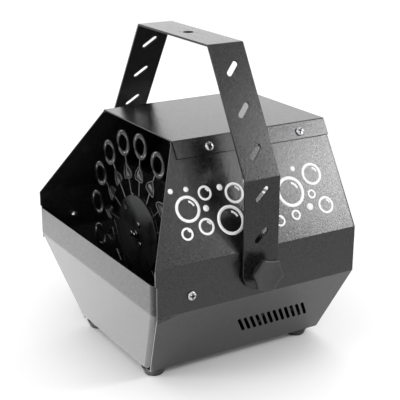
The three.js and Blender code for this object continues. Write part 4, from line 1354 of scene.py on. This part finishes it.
def switch_rocker():
    bm = bmesh.new()
    loft(bm, rocker_shape(4.9))
    bmesh.ops.recalc_face_normals(bm, faces=bm.faces)
    bmesh.ops.translate(bm, vec=(SWITCH[0], REAR_Y, SWITCH[1]), verts=bm.verts)
    return to_mesh(bm, "switch_rocker", 25)


def build_mains_parts():
    show("inlet_housing", power_inlet(), "case", MOULDED, "power_inlet")
    show("inlet_pins", inlet_pins(), "case", ZINC)
    show("fuse_carrier", fuse_drawer(), "fuse_drawer", MOULDED, "fuse_drawer")
    show("switch_bezel", switch_frame(), "case", MOULDED, "switch_frame")
    show("rocker_button", switch_rocker(), "rocker", ROCKER_GLOSS, "switch_rocker")


# ------------------------------------------------------------------ printed bubbles

PRINT_LOW, PRINT_HIGH = 14.0, 70.0  # heights up the upper slope from the band
PRINT_FRONT_Y, PRINT_REAR_Y = -84.0, 92.0
PRINT_SEED = 11
BUBBLE_TRIES = 300
BUBBLE_GAP = 2.2
RING_FROM = 4  # smaller bubbles are dots
SHINE_FROM = 5  # larger ones have a shine mark
INK_LIFT = 0.08
INK_THICKNESS = 0.06
BUBBLE_RADII = (17, 15, 14, 12.5, 11, 10, 8.5, 8, 7, 6.5, 6, 5.5, 5, 4.5, 4, 4, 3.5, 3, 3, 2.5, 2.5, 2.5, 2.5)


def bubble_places(seed):
    """Centres up the slope and along Y, none of them touching: (rise, y, radius)."""
    chance = random.Random(seed)
    places = []
    for radius in BUBBLE_RADII:
        for _ in range(BUBBLE_TRIES):
            rise = chance.uniform(PRINT_LOW + radius, PRINT_HIGH - radius)
            y = chance.uniform(PRINT_FRONT_Y + radius, PRINT_REAR_Y - radius)
            if all(math.hypot(rise - a, y - b) > radius + r + BUBBLE_GAP for a, b, r in places):
                places.append((rise, y, radius))
                break
    return places


def arc_band(radius, half_width, start, end, steps=12):
    """A curved band with square ends, its angles in degrees."""
    first, turn = math.radians(start), math.radians(end - start)
    outer = arc((0, 0), radius + half_width, first, turn, steps)
    return outer + arc((0, 0), radius - half_width, first + turn, -turn, steps)


def bubble_outlines(radius):
    """A small bubble is a dot, a larger one a ring with a shine mark inside."""
    if radius < RING_FROM:
        return [(circle((0, 0), radius), [])]
    wall = 1.2 + 0.13 * radius
    shapes = [(circle((0, 0), radius, 64), [circle((0, 0), radius - wall, 64)])]
    if radius > SHINE_FROM:
        shapes.append((arc_band(radius * 0.58, wall * 0.34, 20, 75), []))
    return shapes


def bubble_print():
    """Printed bubbles scattered along the upper slope."""
    up_slope = Vector((-math.sin(UPPER_TILT), 0, math.cos(UPPER_TILT)))
    outward = Vector((math.cos(UPPER_TILT), 0, math.sin(UPPER_TILT)))
    start = Vector((BAND_HALF, 0, BAND_HIGH_Z))
    bm = bmesh.new()
    for rise, y, radius in bubble_places(PRINT_SEED):
        for outline, holes in bubble_outlines(radius):
            part = flat_sheet(outline, holes)
            for vert in part.verts:
                flat = vert.co.copy()
                along = Vector((0, y + flat.y, 0))
                vert.co = start + up_slope * (rise + flat.x) + along + outward * INK_LIFT
            absorb(bm, part)
    bm.normal_update()
    bmesh.ops.reverse_faces(bm, faces=[f for f in bm.faces if f.normal.x < 0])
    return with_modifiers(to_mesh(bm, "bubble_print"), thicken(INK_THICKNESS))


def build_print():
    mesh = bubble_print()
    show("printed_bubbles_right", mesh, "case", PRINT)
    show("printed_bubbles_left", mirrored(mesh, "bubble_print_left"), "case", PRINT)


# ------------------------------------------------------------------ carried-over CAD nodes

def dress_cad_nodes():
    """CAD nodes that stay take a detailed material."""
    dressing = {
        "base_plate": COAT, "gear_motor": ZINC, "stud_right": ZINC, "stud_left": ZINC,
        "terminal_block": IVORY,
    }
    for node, (material, slot_name) in dressing.items():
        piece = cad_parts[node]
        piece.data.materials.clear()
        piece.data.materials.append(material)


# ------------------------------------------------------------------ studio and camera

def add_floor():
    n = Nodes("studio_floor")
    cloud = n.noise(3, detail=2.0)
    n.set(Base_Color=n.ramp(cloud, (0.3, 0.86), (0.7, 0.88)), Roughness=0.75)
    bm = bmesh.new()
    bmesh.ops.create_grid(bm, x_segments=4, y_segments=4, size=FLOOR_SIZE)
    floor = bpy.data.objects.new("floor", to_mesh(bm, "floor"))
    floor.data.materials.append(n.material)
    floor.location.z = -FLOOR_DROP
    bpy.context.scene.collection.objects.link(floor)


WORLD_STRENGTH = 1.15
LIGHTS_AIM_AT = (0, 0, 0.13)
FLOOR_SIZE = 4000
FLOOR_DROP = 0.0003  # how far the floor lies below the feet


def add_softbox(name, towards, distance, size, power, spread=180):
    """A soft rectangular light that shines on the machine from a direction."""
    light = bpy.data.lights.new(name, "AREA")
    light.shape = "RECTANGLE"
    light.size, light.size_y = size
    light.energy = power
    light.spread = math.radians(spread)
    lamp = bpy.data.objects.new(name, light)
    direction = Vector(towards).normalized()
    lamp.location = Vector(LIGHTS_AIM_AT) + direction * distance
    lamp.rotation_mode = "QUATERNION"
    lamp.rotation_quaternion = direction.to_track_quat("Z", "Y")
    lamp.visible_camera = False
    bpy.context.scene.collection.objects.link(lamp)
    return lamp


def add_studio():
    world = bpy.data.worlds.new("studio")
    world.use_nodes = True
    background = world.node_tree.nodes["Background"]
    background.inputs["Color"].default_value = (1, 1, 1, 1)
    background.inputs["Strength"].default_value = WORLD_STRENGTH
    bpy.context.scene.world = world
    add_softbox("softbox_behind", (-0.805, 0.50, 0.36), 1.5, (1.6, 1.0), 2.7)
    add_softbox("softbox_right", (0.607, 0.676, 0.498), 1.036, (0.27, 0.27), 0.41, spread=60)
    add_softbox("softbox_front", (0.11, -0.87, 0.46), 1.2, (0.35, 0.35), 4)
    table = add_softbox("light_table", (-0.17, -0.22, 0.0), 0.278, (0.54, 0.27), 0.62)
    table.location.z = 0.001
    table.rotation_quaternion = (0, 1, 0, 0)
    bpy.context.scene.view_settings.view_transform = "Standard"


CAMERA_AZIMUTH = 58.42
CAMERA_ELEVATION = 19.03
CAMERA_ROLL = 0.35
CAMERA_DISTANCE = 1.0553
CAMERA_TARGET = Vector((0, 0.00899, 0.14256))
CAMERA_LENS = 93.85
CAMERA_SENSOR = 36.0


def add_camera():
    camera = bpy.data.objects.new("camera", bpy.data.cameras.new("camera"))
    camera.data.lens = CAMERA_LENS
    camera.data.sensor_width = CAMERA_SENSOR
    azimuth, elevation = math.radians(CAMERA_AZIMUTH), math.radians(CAMERA_ELEVATION)
    level = math.cos(elevation)
    back = Vector((math.sin(azimuth) * level, -math.cos(azimuth) * level, math.sin(elevation)))
    right = Vector((math.cos(azimuth), math.sin(azimuth), 0))
    up = back.cross(right)
    turn = Matrix((right, up, back)).transposed().to_4x4()
    roll = Matrix.Rotation(math.radians(CAMERA_ROLL), 4, "Z")
    camera.matrix_world = Matrix.Translation(CAMERA_TARGET + back * CAMERA_DISTANCE) @ turn @ roll
    bpy.context.scene.collection.objects.link(camera)
    bpy.context.scene.camera = camera


def corners(bounds):
    return [list(bounds[0]), list(bounds[1])]


add_camera()
add_studio()
add_floor()
build_case()
build_screws()
build_wheel()
build_bracket()
build_fan()
build_mains_parts()
build_print()
dress_cad_nodes()
